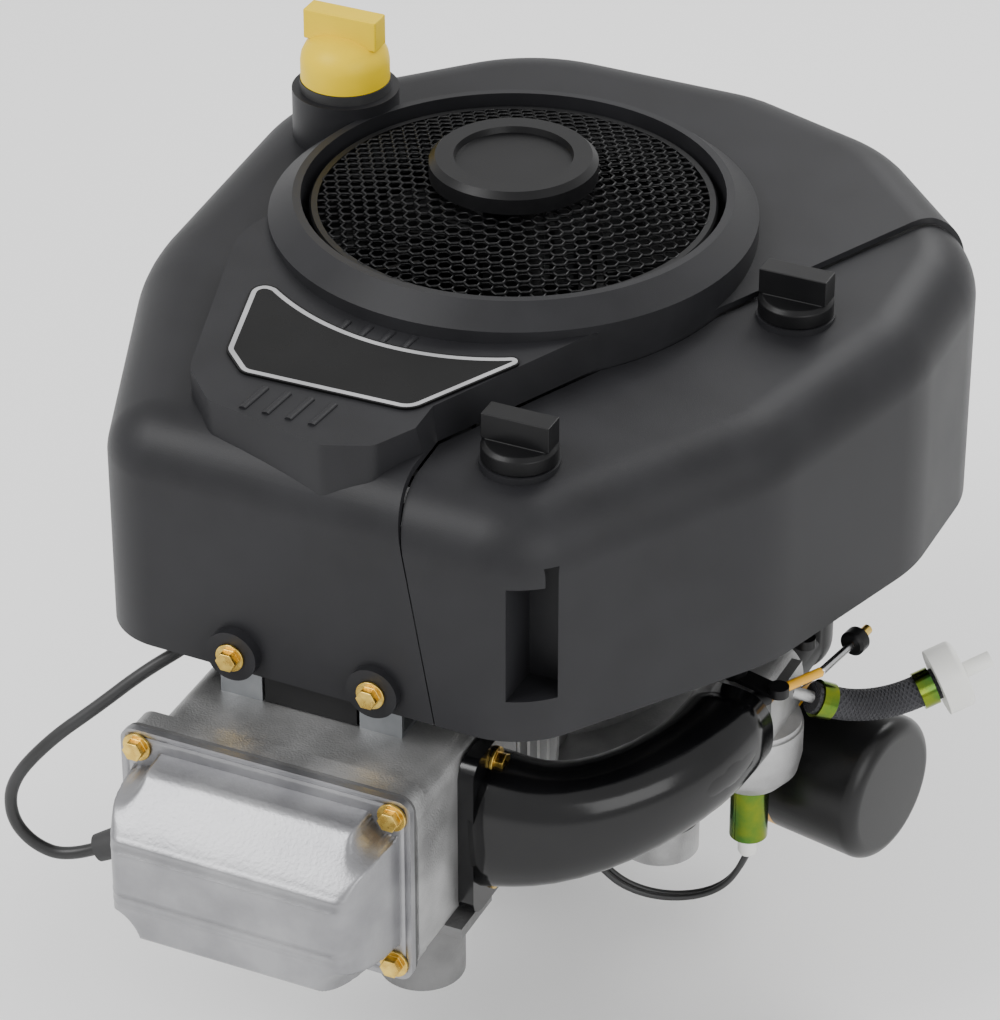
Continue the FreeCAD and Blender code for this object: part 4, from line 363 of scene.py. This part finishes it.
def rounded_run(corners, steps=8):
    """Points along an open run whose inner corners, each an x, a y and a radius, are turned as arcs."""
    spots = [Vector(corner[:2]) for corner in corners]
    points = [spots[0]]
    for index in range(1, len(corners) - 1):
        corner, radius = spots[index], corners[index][2]
        before = (spots[index - 1] - corner).normalized()
        after = (spots[index + 1] - corner).normalized()
        half = before.angle(after) / 2
        centre = corner + (before + after).normalized() * radius / math.sin(half)
        reach = radius / math.tan(half)
        points += arc(centre, corner + before * reach, corner + after * reach, steps)
    return points + [spots[-1]]


def panel_body():
    """The thin panel, with its black border, its silver line and its black field."""
    ring_centre = Vector((0, 0))
    ring_steps = 40
    thickness = 0.0012
    border_width, line_width = 0.0010, 0.0024
    silver_slot = 1
    corners = [(-0.0725, -0.1090, 0), (-0.0860, -0.1065, 0.007), (-0.0720, -0.1630, 0.009),
               (-0.0570, -0.1765, 0.009), (0.0285, -0.1745, 0.012), (0.0660, -0.1130, 0.004),
               (0.0511, -0.1205, 0)]
    outline = rounded_run(corners)
    outline += arc(ring_centre, outline[-1], outline[0], ring_steps)[1:-1]
    form = bmesh.new()
    top = [form.verts.new((spot.x, spot.y, plateau_height + thickness + spot.y * math.tan(plateau_slope)))
           for spot in outline]
    field = form.faces.new(top)
    field.normal_update()
    if field.normal.z < 0:
        field.normal_flip()
    raised = bmesh.ops.extrude_face_region(form, geom=[field])
    for spot in raised["geom"]:
        if isinstance(spot, bmesh.types.BMVert):
            spot.co.z -= thickness
    bmesh.ops.recalc_face_normals(form, faces=form.faces)
    flat_sides = [face for face in form.faces if len(face.verts) > 4]
    field = max(flat_sides, key=lambda face: face.calc_center_median().z)
    bmesh.ops.inset_region(form, faces=[field], thickness=border_width, use_even_offset=True)
    line = bmesh.ops.inset_region(form, faces=[field], thickness=line_width, use_even_offset=True)["faces"]
    for face in line:
        face.material_index = silver_slot
    return piece_from(form, "name_panel")


placed(panel_body(), "nameplate", panel_black, silver_line)


# ---------------------------------------------------------------- raised ribs beside the panel
# Eight short slanting ribs moulded in one piece with the blower housing. Four stand on the pad between
# the fan ring and the name panel, and four below the panel.
def copies_on(points, shape, tree, given, result):
    """Ends a tree: sets the shape on every point, makes the copies real and gives them their material."""
    nodes, links = tree.nodes, tree.links
    spread = nodes.new("GeometryNodeInstanceOnPoints")
    links.new(points, spread.inputs["Points"])
    links.new(shape, spread.inputs["Instance"])
    real = nodes.new("GeometryNodeRealizeInstances")
    links.new(spread.outputs[0], real.inputs[0])
    paint = nodes.new("GeometryNodeSetMaterial")
    links.new(real.outputs[0], paint.inputs["Geometry"])
    links.new(given.outputs["Material"], paint.inputs["Material"])
    links.new(paint.outputs[0], result.inputs[0])


def rib_tree():
    """A row of round bars, one pitch apart."""
    tree, given, result = node_group(
        "rib_row", "GeometryNodeTree",
        {"Count": "Int", "Pitch": "Float", "Length": "Float", "Thickness": "Float", "Material": "Material"},
        {"Geometry": "Geometry"})
    nodes, links = tree.nodes, tree.links
    step = nodes.new("ShaderNodeCombineXYZ")
    links.new(given.outputs["Pitch"], step.inputs["X"])
    row = nodes.new("GeometryNodeMeshLine")
    links.new(given.outputs["Count"], row.inputs["Count"])
    links.new(step.outputs[0], row.inputs["Offset"])
    reach = nodes.new("ShaderNodeCombineXYZ")
    links.new(given.outputs["Length"], reach.inputs["Y"])
    line = nodes.new("GeometryNodeCurvePrimitiveLine")
    links.new(reach.outputs[0], line.inputs["End"])
    section = nodes.new("GeometryNodeCurvePrimitiveCircle")
    section.inputs["Resolution"].default_value = 12
    links.new(given.outputs["Thickness"], section.inputs["Radius"])
    bar = nodes.new("GeometryNodeCurveToMesh")
    bar.inputs["Fill Caps"].default_value = True
    links.new(line.outputs[0], bar.inputs["Curve"])
    links.new(section.outputs["Curve"], bar.inputs["Profile Curve"])
    copies_on(row.outputs[0], bar.outputs[0], tree, given, result)
    return tree


def grown(name, tree, sizes):
    """Runs a geometry tree with the given sizes and returns the result as a plain mesh piece."""
    seed = bpy.data.objects.new(name + "_seed", bpy.data.meshes.new(name + "_seed"))
    bpy.context.scene.collection.objects.link(seed)
    modifier = seed.modifiers.new("tree", "NODES")
    modifier.node_group = tree
    for item in tree.interface.items_tree:
        if item.in_out == "INPUT" and item.name in sizes:
            modifier[item.identifier] = sizes[item.name]
    ready = seed.evaluated_get(bpy.context.evaluated_depsgraph_get())
    mesh = bpy.data.meshes.new_from_object(ready)
    mesh.name = name
    bpy.data.objects.remove(seed)
    piece = bpy.data.objects.new(name, mesh)
    bpy.context.scene.collection.objects.link(piece)
    return piece


def trim(piece, body, node, *materials):
    """Gives an extra that has no CAD node of its own its materials and its body. The neighbour's node that
    it is handed is not used.
    """
    for material in materials:
        piece.data.materials.append(material)
    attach(piece, body)


ribs = rib_tree()
ribs_in_row = 4
rib_thickness = 0.0019
rib_slant = 0.15
rib_height_share = 0.6
for word, start_x, start_y, pitch, length in (("upper", -0.0310, -0.1305, 0.0115, 0.010),
                                              ("lower", -0.0440, -0.2000, 0.0117, 0.018)):
    row = grown("housing_ribs_" + word, ribs, {"Count": ribs_in_row, "Pitch": pitch, "Length": length,
                                               "Thickness": rib_thickness, "Material": charcoal})
    for vertex in row.data.vertices:
        x, y, z = vertex.co
        y += start_y
        vertex.co = (x + start_x + rib_slant * (y - start_y), y,
                     plateau_height + y * math.tan(plateau_slope) + rib_height_share * z)
    for face in row.data.polygons:
        face.use_smooth = True
    trim(row, "engine", "blower_housing")


# ---------------------------------------------------------------- rotating screen
# A black moulded dome of six-sided holes inside a plain rim. It is fixed over the fan and turns with the
# flywheel, and it keeps grass out.
def screen_tree():
    """Hexagon rings set out on a staggered grid, lifted onto a dome between two radii."""
    tree, given, result = node_group(
        "honeycomb_dome", "GeometryNodeTree",
        {"Cell Radius": "Float", "Wire": "Float", "Rim Radius": "Float", "Hub Radius": "Float",
         "Top Height": "Float", "Drop": "Float", "Material": "Material"},
        {"Geometry": "Geometry"})
    nodes, links = tree.nodes, tree.links

    def worked_out(operation, first, second=None):
        """One step of arithmetic on sockets or plain numbers."""
        node = nodes.new("ShaderNodeMath")
        node.operation = operation
        for socket, value in zip(node.inputs, (first, second)):
            if value is None:
                continue
            if isinstance(value, (int, float)):
                socket.default_value = value
            else:
                links.new(value, socket)
        return node.outputs[0]

    points = nodes.new("GeometryNodePoints")
    columns = 34
    points.inputs["Count"].default_value = columns * columns
    index = nodes.new("GeometryNodeInputIndex").outputs[0]
    column = worked_out("MODULO", index, columns)
    row = worked_out("FLOOR", worked_out("DIVIDE", index, columns))
    stagger = worked_out("MULTIPLY", worked_out("MODULO", row, 2), 0.5)
    pitch = worked_out("MULTIPLY", given.outputs["Cell Radius"], math.sqrt(3))
    from_middle = worked_out("SUBTRACT", worked_out("ADD", column, stagger), columns / 2)
    across = worked_out("MULTIPLY", from_middle, pitch)
    along = worked_out("MULTIPLY", worked_out("SUBTRACT", row, columns / 2),
                   worked_out("MULTIPLY", given.outputs["Cell Radius"], 1.5))
    square = worked_out("ADD", worked_out("MULTIPLY", across, across), worked_out("MULTIPLY", along, along))
    reach = worked_out("SQRT", square)
    share = worked_out("DIVIDE", reach, given.outputs["Rim Radius"])
    height = worked_out("SUBTRACT", given.outputs["Top Height"],
                    worked_out("MULTIPLY", given.outputs["Drop"], worked_out("MULTIPLY", share, share)))
    spot = nodes.new("ShaderNodeCombineXYZ")
    for socket, value in zip(spot.inputs, (across, along, height)):
        links.new(value, socket)
    links.new(spot.outputs[0], points.inputs["Position"])
    outside = worked_out("GREATER_THAN", reach, given.outputs["Rim Radius"])
    inside = worked_out("LESS_THAN", reach, given.outputs["Hub Radius"])
    spare = worked_out("MAXIMUM", outside, inside)
    keep = nodes.new("GeometryNodeDeleteGeometry")
    links.new(points.outputs[0], keep.inputs["Geometry"])
    links.new(spare, keep.inputs["Selection"])
    ring = nodes.new("GeometryNodeCurvePrimitiveCircle")
    ring.inputs["Resolution"].default_value = 6
    links.new(given.outputs["Cell Radius"], ring.inputs["Radius"])
    section = nodes.new("GeometryNodeCurvePrimitiveCircle")
    section.inputs["Resolution"].default_value = 4
    links.new(given.outputs["Wire"], section.inputs["Radius"])
    strand = nodes.new("GeometryNodeCurveToMesh")
    links.new(ring.outputs["Curve"], strand.inputs["Curve"])
    links.new(section.outputs["Curve"], strand.inputs["Profile Curve"])
    turn = nodes.new("GeometryNodeTransform")
    turn.inputs["Rotation"].default_value = (0, 0, math.radians(30))
    links.new(strand.outputs[0], turn.inputs["Geometry"])
    copies_on(keep.outputs[0], turn.outputs[0], tree, given, result)
    return tree


screen_low, screen_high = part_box("rotating_screen")
screen_radius = (screen_high[0] - screen_low[0]) / 2
screen_drop = 0.0138
cell_gap, top_gap = 0.005, 0.001
honeycomb = grown("honeycomb_screen", screen_tree(), {
    "Cell Radius": 0.0040, "Wire": 0.0008, "Rim Radius": screen_radius - cell_gap, "Hub Radius": 0.039,
    "Top Height": screen_high[2] - top_gap, "Drop": screen_drop, "Material": black_moulding})
placed(honeycomb, "rotating_screen")


def ring_joined(form, sections, crease):
    """Joins the turned sections all the way round, then closes the poles and shades the result."""
    pole_reach = 0.000001
    for here, after in zip(sections, sections[1:] + sections[:1]):
        for spot in range(len(here)):
            following = (spot + 1) % len(here)
            form.faces.new((here[spot], after[spot], after[following], here[following]))
    bmesh.ops.remove_doubles(form, verts=form.verts, dist=pole_reach)
    bmesh.ops.recalc_face_normals(form, faces=form.faces)
    shaded(form, crease)


def lathe(name, profile, centre=(0, 0), steps=96):
    """A closed ring turned about an upright axis, the crank's by default, from radius and height pairs."""
    form = bmesh.new()
    sections = []
    for step in range(steps):
        turn = 2 * math.pi * step / steps
        sections.append([form.verts.new((centre[0] + r * math.cos(turn), centre[1] + r * math.sin(turn), z))
                         for r, z in profile])
    ring_joined(form, sections, crease=35)
    return piece_from(form, name)


rim_width, rim_chamfer = 0.004, 0.001
rim_inside = screen_radius - rim_width
rim_top = screen_high[2] - screen_drop
screen_rim = lathe("screen_rim", [(rim_inside, screen_low[2]), (screen_radius, screen_low[2]),
                                  (screen_radius, rim_top - rim_chamfer),
                                  (screen_radius - rim_chamfer, rim_top), (rim_inside, rim_top)])
trim(screen_rim, "crank", "rotating_screen", black_moulding)


# ---------------------------------------------------------------- intake, carburettor and fuel parts
# A gloss black duct bolted to the head, a grey die-cast carburettor with its float bowl, and the fuel
# solenoid below it in iridescent green plate.
gloss_moulding = finish("gloss_moulding", light=(0.004, 0.004, 0.0045), dark=(0.0025, 0.0025, 0.003),
                        roughness=(0.12, 0.22), grain_scale=500, grain_depth=0.00004, shine=0.35)
duct_route = [(0.0745, -0.190, 0.090), (0.090, -0.189, 0.091), (0.104, -0.186, 0.092),
              (0.122, -0.176, 0.095), (0.138, -0.161, 0.100), (0.150, -0.142, 0.104),
              (0.158, -0.123, 0.108), (0.160, -0.0965, 0.110)]
duct_sections = [(0.025, 0.034), (0.024, 0.032), (0.0235, 0.029), (0.023, 0.026), (0.0225, 0.024),
                 (0.0222, 0.0225), (0.0218, 0.0218), (0.0218, 0.0218)]


def duct_body(steps=48):
    """A horn that is tall where it leaves the head and round where it meets the carburettor."""
    fullness = 0.75
    form = bmesh.new()
    rings = []
    for index, (spot, (half_width, half_height)) in enumerate(zip(duct_route, duct_sections)):
        before = Vector(duct_route[max(index - 1, 0)])
        after = Vector(duct_route[min(index + 1, len(duct_route) - 1)])
        heading = (after - before).normalized()
        sideways = heading.cross(Vector((0, 0, 1))).normalized()
        upwards = sideways.cross(heading)
        ring = []
        for step in range(steps):
            turn = 2 * math.pi * step / steps
            round_x = math.copysign(abs(math.cos(turn)) ** fullness, math.cos(turn))
            round_z = math.copysign(abs(math.sin(turn)) ** fullness, math.sin(turn))
            ring.append(form.verts.new(Vector(spot) + sideways * half_width * round_x
                                       + upwards * half_height * round_z))
        rings.append(ring)
    for near, far in zip(rings, rings[1:]):
        for step in range(steps):
            after = (step + 1) % steps
            form.faces.new((near[step], near[after], far[after], far[step]))
    crease = form.edges.layers.float.new("crease_edge")
    for end in (form.faces.new(rings[0]), form.faces.new(rings[-1])):
        for edge in end.edges:
            edge[crease] = 1
    bmesh.ops.recalc_face_normals(form, faces=form.faces)
    for face in form.faces:
        face.smooth = len(face.verts) == 4
    piece = piece_from(form, "intake_duct")
    round_off = piece.modifiers.new("round_off", "SUBSURF")
    round_off.levels = round_off.render_levels = 1
    return piece


trim(duct_body(), "engine", "intake_elbow", gloss_moulding)
refined("intake_elbow", gloss_moulding)
for part in ("carburettor", "float_bowl"):
    refined(part, cast_metal)
green_plate = finish("green_plate", light=(0.20, 0.23, 0.015), dark=(0.05, 0.15, 0.03),
                     roughness=(0.12, 0.25), grain_scale=500, grain_depth=0.00003, metallic=1.0,
                     mottle_scale=60)
solenoid = refined("fuel_solenoid", green_plate)
refined("hose_clamps", green_plate)
white_moulding = finish("white_moulding", light=(0.82, 0.82, 0.79), dark=(0.74, 0.74, 0.70),
                        roughness=(0.35, 0.5), grain_scale=900, grain_depth=0.00004)
refined("fuel_filter", white_moulding, edge_round=0.0008)
solenoid.data.materials.append(white_moulding)
connector_height = 0.0122
connector_slot = 1
connector_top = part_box("fuel_solenoid")[0][2] + connector_height
for face in solenoid.data.polygons:
    if face.center.z < connector_top:
        face.material_index = connector_slot


# ---------------------------------------------------------------- carburettor linkage
# A yellow sleeve on a steel rod runs along the carburettor between a black end block with a brass eyelet
# and a black clip with a brass nipple.
def round_bar(name, start, end, radius, material, bore=0.0, steps=32):
    """A bevelled round bar, or a ring where bore is given, from one point to another."""
    form = bmesh.new()
    axis = Vector(end) - Vector(start)
    length = axis.length
    radius_share, length_share = 0.2, 0.25
    chamfer = min(radius * radius_share, length * length_share)
    profile = [(bore, 0), (radius - chamfer, 0), (radius, chamfer), (radius, length - chamfer),
               (radius - chamfer, length), (bore, length)]
    turned = axis.to_track_quat("Z", "Y").to_matrix().to_4x4()
    turned.translation = Vector(start)
    sections = []
    for step in range(steps):
        turn = 2 * math.pi * step / steps
        sections.append([form.verts.new(turned @ Vector((r * math.cos(turn), r * math.sin(turn), z)))
                         for r, z in profile])
    ring_joined(form, sections, crease=32)
    trim(piece_from(form, name), "engine", "carburettor", material)


sleeve_yellow = finish("sleeve_yellow", light=(0.80, 0.42, 0.02), dark=(0.62, 0.30, 0.01),
                       roughness=(0.25, 0.4), grain_scale=700, grain_depth=0.00003)
eyelet_spot = Vector((0.1575, -0.1135, 0.1215))
sleeve_start = Vector((0.1740, -0.0873, 0.1235))
sleeve_end = Vector((0.1900, -0.0584, 0.1235))
clip_spot = Vector((0.1940, -0.0290, 0.1220))
nipple_end = Vector((0.1965, -0.0120, 0.1220))
eyelet_thickness = 0.0015
eyelet_front = eyelet_spot - (sleeve_start - eyelet_spot).normalized() * eyelet_thickness
clip_end = clip_spot + (nipple_end - clip_spot) * 0.5
round_bar("linkage_rod", eyelet_spot, sleeve_end, 0.0012, ground_steel)
round_bar("linkage_rod_rear", sleeve_end, clip_spot, 0.0020, ground_steel)
round_bar("linkage_sleeve", sleeve_start, sleeve_end, 0.0024, sleeve_yellow)
round_bar("linkage_block", eyelet_spot, sleeve_start, 0.0046, black_moulding)
round_bar("linkage_eyelet", eyelet_front, eyelet_spot, 0.0042, yellow_zinc, bore=0.0018)
round_bar("linkage_clip", clip_spot, clip_end, 0.0065, black_moulding)
round_bar("linkage_nipple", clip_spot, nipple_end, 0.0026, yellow_zinc)


# ---------------------------------------------------------------- fuel hose
# A short, thick rubber hose with a woven skin, clamped onto the carburettor's inlet and the white filter.
# It is stiff and held at both ends.
def smooth_run(name, points_mm, diameter):
    """A round-section curve which has the route's points as its control points."""
    curve = bpy.data.curves.new(name, "CURVE")
    curve.dimensions = "3D"
    curve.bevel_depth = diameter / 2
    curve.bevel_resolution = 6
    curve.resolution_u = 12
    curve.use_fill_caps = True
    spline = curve.splines.new("NURBS")
    spline.points.add(len(points_mm) - 1)
    for point, place in zip(spline.points, points_mm):
        point.co = (*(value / 1000 for value in place), 1)
    spline.order_u = 3
    spline.use_endpoint_u = True
    piece = bpy.data.objects.new(name, curve)
    bpy.context.scene.collection.objects.link(piece)
    return piece


def weave():
    """Shader group for a braided skin: two sets of slanting strands that cross, read along the hose."""
    strands_along, strands_around = 150, 75
    group, given, result = node_group("weave", "ShaderNodeTree", {"Vector": "Vector"}, {"Height": "Float"})
    nodes, links = group.nodes, group.links
    crossing = nodes.new("ShaderNodeMath")
    crossing.operation = "MAXIMUM"
    for socket, slant in zip(crossing.inputs, (1, -1)):
        turned = nodes.new("ShaderNodeVectorMath")
        turned.operation = "DOT_PRODUCT"
        turned.inputs[1].default_value = (strands_along, slant * strands_around, 0)
        wave = nodes.new("ShaderNodeMath")
        wave.operation = "SINE"
        links.new(given.outputs["Vector"], turned.inputs[0])
        links.new(turned.outputs["Value"], wave.inputs[0])
        links.new(wave.outputs[0], socket)
    links.new(crossing.outputs[0], result.inputs["Height"])
    return group


hose_rubber = finish("hose_rubber", light=(0.050, 0.050, 0.056), dark=(0.030, 0.030, 0.034),
                     roughness=(0.55, 0.75), grain_scale=1100, grain_depth=0.0002, shine=0.3)
hose_nodes, hose_links = hose_rubber.node_tree.nodes, hose_rubber.node_tree.links
along_hose = hose_nodes.new("ShaderNodeUVMap")
braid = hose_nodes.new("ShaderNodeGroup")
braid.node_tree = weave()
braid_bump = hose_nodes.new("ShaderNodeBump")
braid_bump.inputs["Distance"].default_value = 0.0005
hose_shader = hose_nodes["Principled BSDF"]
hose_links.new(along_hose.outputs["UV"], braid.inputs["Vector"])
hose_links.new(braid.outputs["Height"], braid_bump.inputs["Height"])
hose_links.new(hose_shader.inputs["Normal"].links[0].from_socket, braid_bump.inputs["Normal"])
hose_links.new(braid_bump.outputs["Normal"], hose_shader.inputs["Normal"])
hose_route = [(183.5, -51.7, 102.5), (193.4, -43.6, 96.3), (203.3, -35.4, 93.1), (213.2, -27.3, 92.7),
              (223, -19.2, 95), (232.9, -11.1, 99.7)]
hose_line = smooth_run("hose_line", hose_route, 0.016)
hose = bpy.data.objects.new("fuel_line", bpy.data.meshes.new_from_object(
    hose_line.evaluated_get(bpy.context.evaluated_depsgraph_get())))
bpy.data.objects.remove(hose_line)
bpy.context.scene.collection.objects.link(hose)
placed(hose, "fuel_hose", hose_rubber)


# ---------------------------------------------------------------- ignition lead and solenoid wires
# The moulded lead from the coil to the plug boot and two thin wires to the solenoid. Each is one smooth
# run held at both ends.
def flexible(name, points_mm, diameter, material, node):
    """A run that stands for a CAD node."""
    piece = smooth_run(name, points_mm, diameter)
    placed(piece, node, material)


lead_rubber = finish("lead_rubber", light=(0.022, 0.022, 0.023), dark=(0.012, 0.012, 0.012),
                     roughness=(0.35, 0.5), grain_scale=700, grain_depth=0.00005)
lead_route = [(-66.5, -145, 181), (-66, -162, 171), (-68, -178, 156), (-84, -190, 141.5),
              (-103, -201, 127.5), (-122, -213, 109.5), (-143, -224, 91), (-162, -231.5, 66),
              (-163.5, -232, 44), (-153, -229.8, 29.2), (-136.7, -225.4, 23.3), (-121, -221.4, 31.2)]
wire_route = [(160, -70, 14), (156, -73, 1), (146, -80, -8), (130, -88, -11), (113, -95, -8), (99, -101, 2),
              (92, -104, 14)]
flexible("ignition_lead", lead_route, 0.0064, lead_rubber, "spark_lead")
half_gap = 1.8
for side, word in ((-half_gap, "left"), (half_gap, "right")):
    run = [(x, y + side, z) for x, y, z in wire_route]
    flexible("solenoid_wire_" + word, run, 0.0032, lead_rubber, "solenoid_wires")


# ---------------------------------------------------------------- oil parts, starter, brackets and outlet
# The yellow filler cap on its black tube, the black enamelled oil filter can and starter, zinc-plated
# brackets and the iron outlet under the head.
cap_yellow = finish("cap_yellow", light=(0.80, 0.56, 0.0), dark=(0.72, 0.50, 0.0), roughness=(0.35, 0.45),
                    grain_scale=500, grain_depth=0.00004, shine=0.2)
refined("oil_cap", cap_yellow, edge_round=0.0025)
cap_low, cap_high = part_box("oil_cap")
cap_middle = ((cap_low[0] + cap_high[0]) / 2, (cap_low[1] + cap_high[1]) / 2)
seal_gap = 0.0002
cap_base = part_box("cap_seal")[1][2] + seal_gap
dome_outline = [(0.0195, 0), (0.0225, 0), (0.0225, 0.010), (0.0218, 0.014), (0.0198, 0.018),
                (0.0160, 0.0215), (0.0100, 0.0240), (0, 0.0248), (0, 0.0205), (0.0150, 0.0185),
                (0.0195, 0.0140)]
dome = lathe("oil_cap_dome", [(radius, cap_base + rise) for radius, rise in dome_outline], cap_middle)
trim(dome, "oil_fill_cap", "oil_cap", cap_yellow)
enamel = finish("black_enamel", light=(0.009, 0.009, 0.0095), dark=(0.005, 0.005, 0.005),
                roughness=(0.25, 0.40), grain_scale=900, grain_depth=0.00006, shine=0.3)
for part in ("oil_fill_tube", "starter_motor"):
    refined(part, enamel)
can = refined("oil_filter", enamel)
band_orange = finish("band_orange", light=(0.80, 0.42, 0.02), dark=(0.66, 0.32, 0.01),
                     roughness=(0.3, 0.4), grain_scale=600, grain_depth=0.00002)
can.data.materials.append(band_orange)
can_turn = math.radians(-12)
can_heading = Vector((math.cos(can_turn), math.sin(can_turn), 0))
can_base = min(can_heading.dot(vertex.co) for vertex in can.data.vertices)
band_start, band_end = 0.001, 0.008
band_slot = 1
form = bmesh.new()
form.from_mesh(can.data)
for offset in (band_start, band_end):
    everything = form.verts[:] + form.edges[:] + form.faces[:]
    bmesh.ops.bisect_plane(form, geom=everything, plane_co=can_heading * (can_base + offset),
                           plane_no=can_heading)
for face in form.faces:
    along = can_heading.dot(face.calc_center_median()) - can_base
    if band_start < along < band_end:
        face.material_index = band_slot
form.to_mesh(can.data)
form.free()
grey_zinc = finish("grey_zinc", light=(0.30, 0.31, 0.32), dark=(0.20, 0.21, 0.22), roughness=(0.3, 0.5),
                   grain_scale=900, grain_depth=0.00005, metallic=0.9)
for part in ("shroud_brackets", "control_bracket"):
    refined(part, grey_zinc)
iron = finish("cast_iron", light=(0.24, 0.24, 0.24), dark=(0.14, 0.14, 0.14), roughness=(0.5, 0.7),
              grain_scale=500, grain_depth=0.0005, metallic=0.7)
refined("exhaust_outlet", iron)


# ---------------------------------------------------------------- stage, lights and camera
# A plain pale floor just under the lowest point of the engine, three soft studio lights in a white room,
# and a camera with a long lens that stands in front, to the right and above.
floor_reach = 8
floor_gap = 0.001
floor_height = cad_box[0][2] - floor_gap
floor_corners = [(-floor_reach, -floor_reach, floor_height), (floor_reach, -floor_reach, floor_height),
                 (floor_reach, floor_reach, floor_height), (-floor_reach, floor_reach, floor_height)]
floor_mesh = bpy.data.meshes.new("floor")
floor_mesh.from_pydata(floor_corners, [], [(0, 1, 2, 3)])
floor = bpy.data.objects.new("floor", floor_mesh)
bpy.context.scene.collection.objects.link(floor)
floor_paint = bpy.data.materials.new("pale_floor")
floor_paint.use_nodes = True
floor_shader = floor_paint.node_tree.nodes["Principled BSDF"]
floor_shader.inputs["Base Color"].default_value = (0.98, 0.98, 0.98, 1)
floor_shader.inputs["Roughness"].default_value = 0.9
floor.data.materials.append(floor_paint)

world = bpy.data.worlds.new("studio")
world.use_nodes = True
background = world.node_tree.nodes["Background"]
background.inputs["Color"].default_value = (1, 1, 1, 1)
background.inputs["Strength"].default_value = 1.0
bpy.context.scene.world = world
target = Vector((0.0288, -0.0779, 0.1839))
for name, spot, power, width in (("key", (-0.9, -1.1, 1.6), 26, 0.9), ("fill", (1.3, -0.9, 0.9), 10, 1.0),
                                 ("rim", (0.3, 1.3, 1.5), 16, 0.8)):
    lamp = bpy.data.lights.new(name, "AREA")
    lamp.energy = power
    lamp.size = width
    light = bpy.data.objects.new(name, lamp)
    light.location = spot
    light.rotation_euler = (target - Vector(spot)).to_track_quat("-Z", "Y").to_euler()
    bpy.context.scene.collection.objects.link(light)
lens = bpy.data.cameras.new("camera")
lens.lens = 158.8
lens.sensor_width = 36
camera = bpy.data.objects.new("camera", lens)
camera.location = (0.7991, -1.7426, 1.3506)
camera.rotation_euler = (target - camera.location).to_track_quat("-Z", "Y").to_euler()
bpy.context.scene.collection.objects.link(camera)
bpy.context.scene.camera = camera
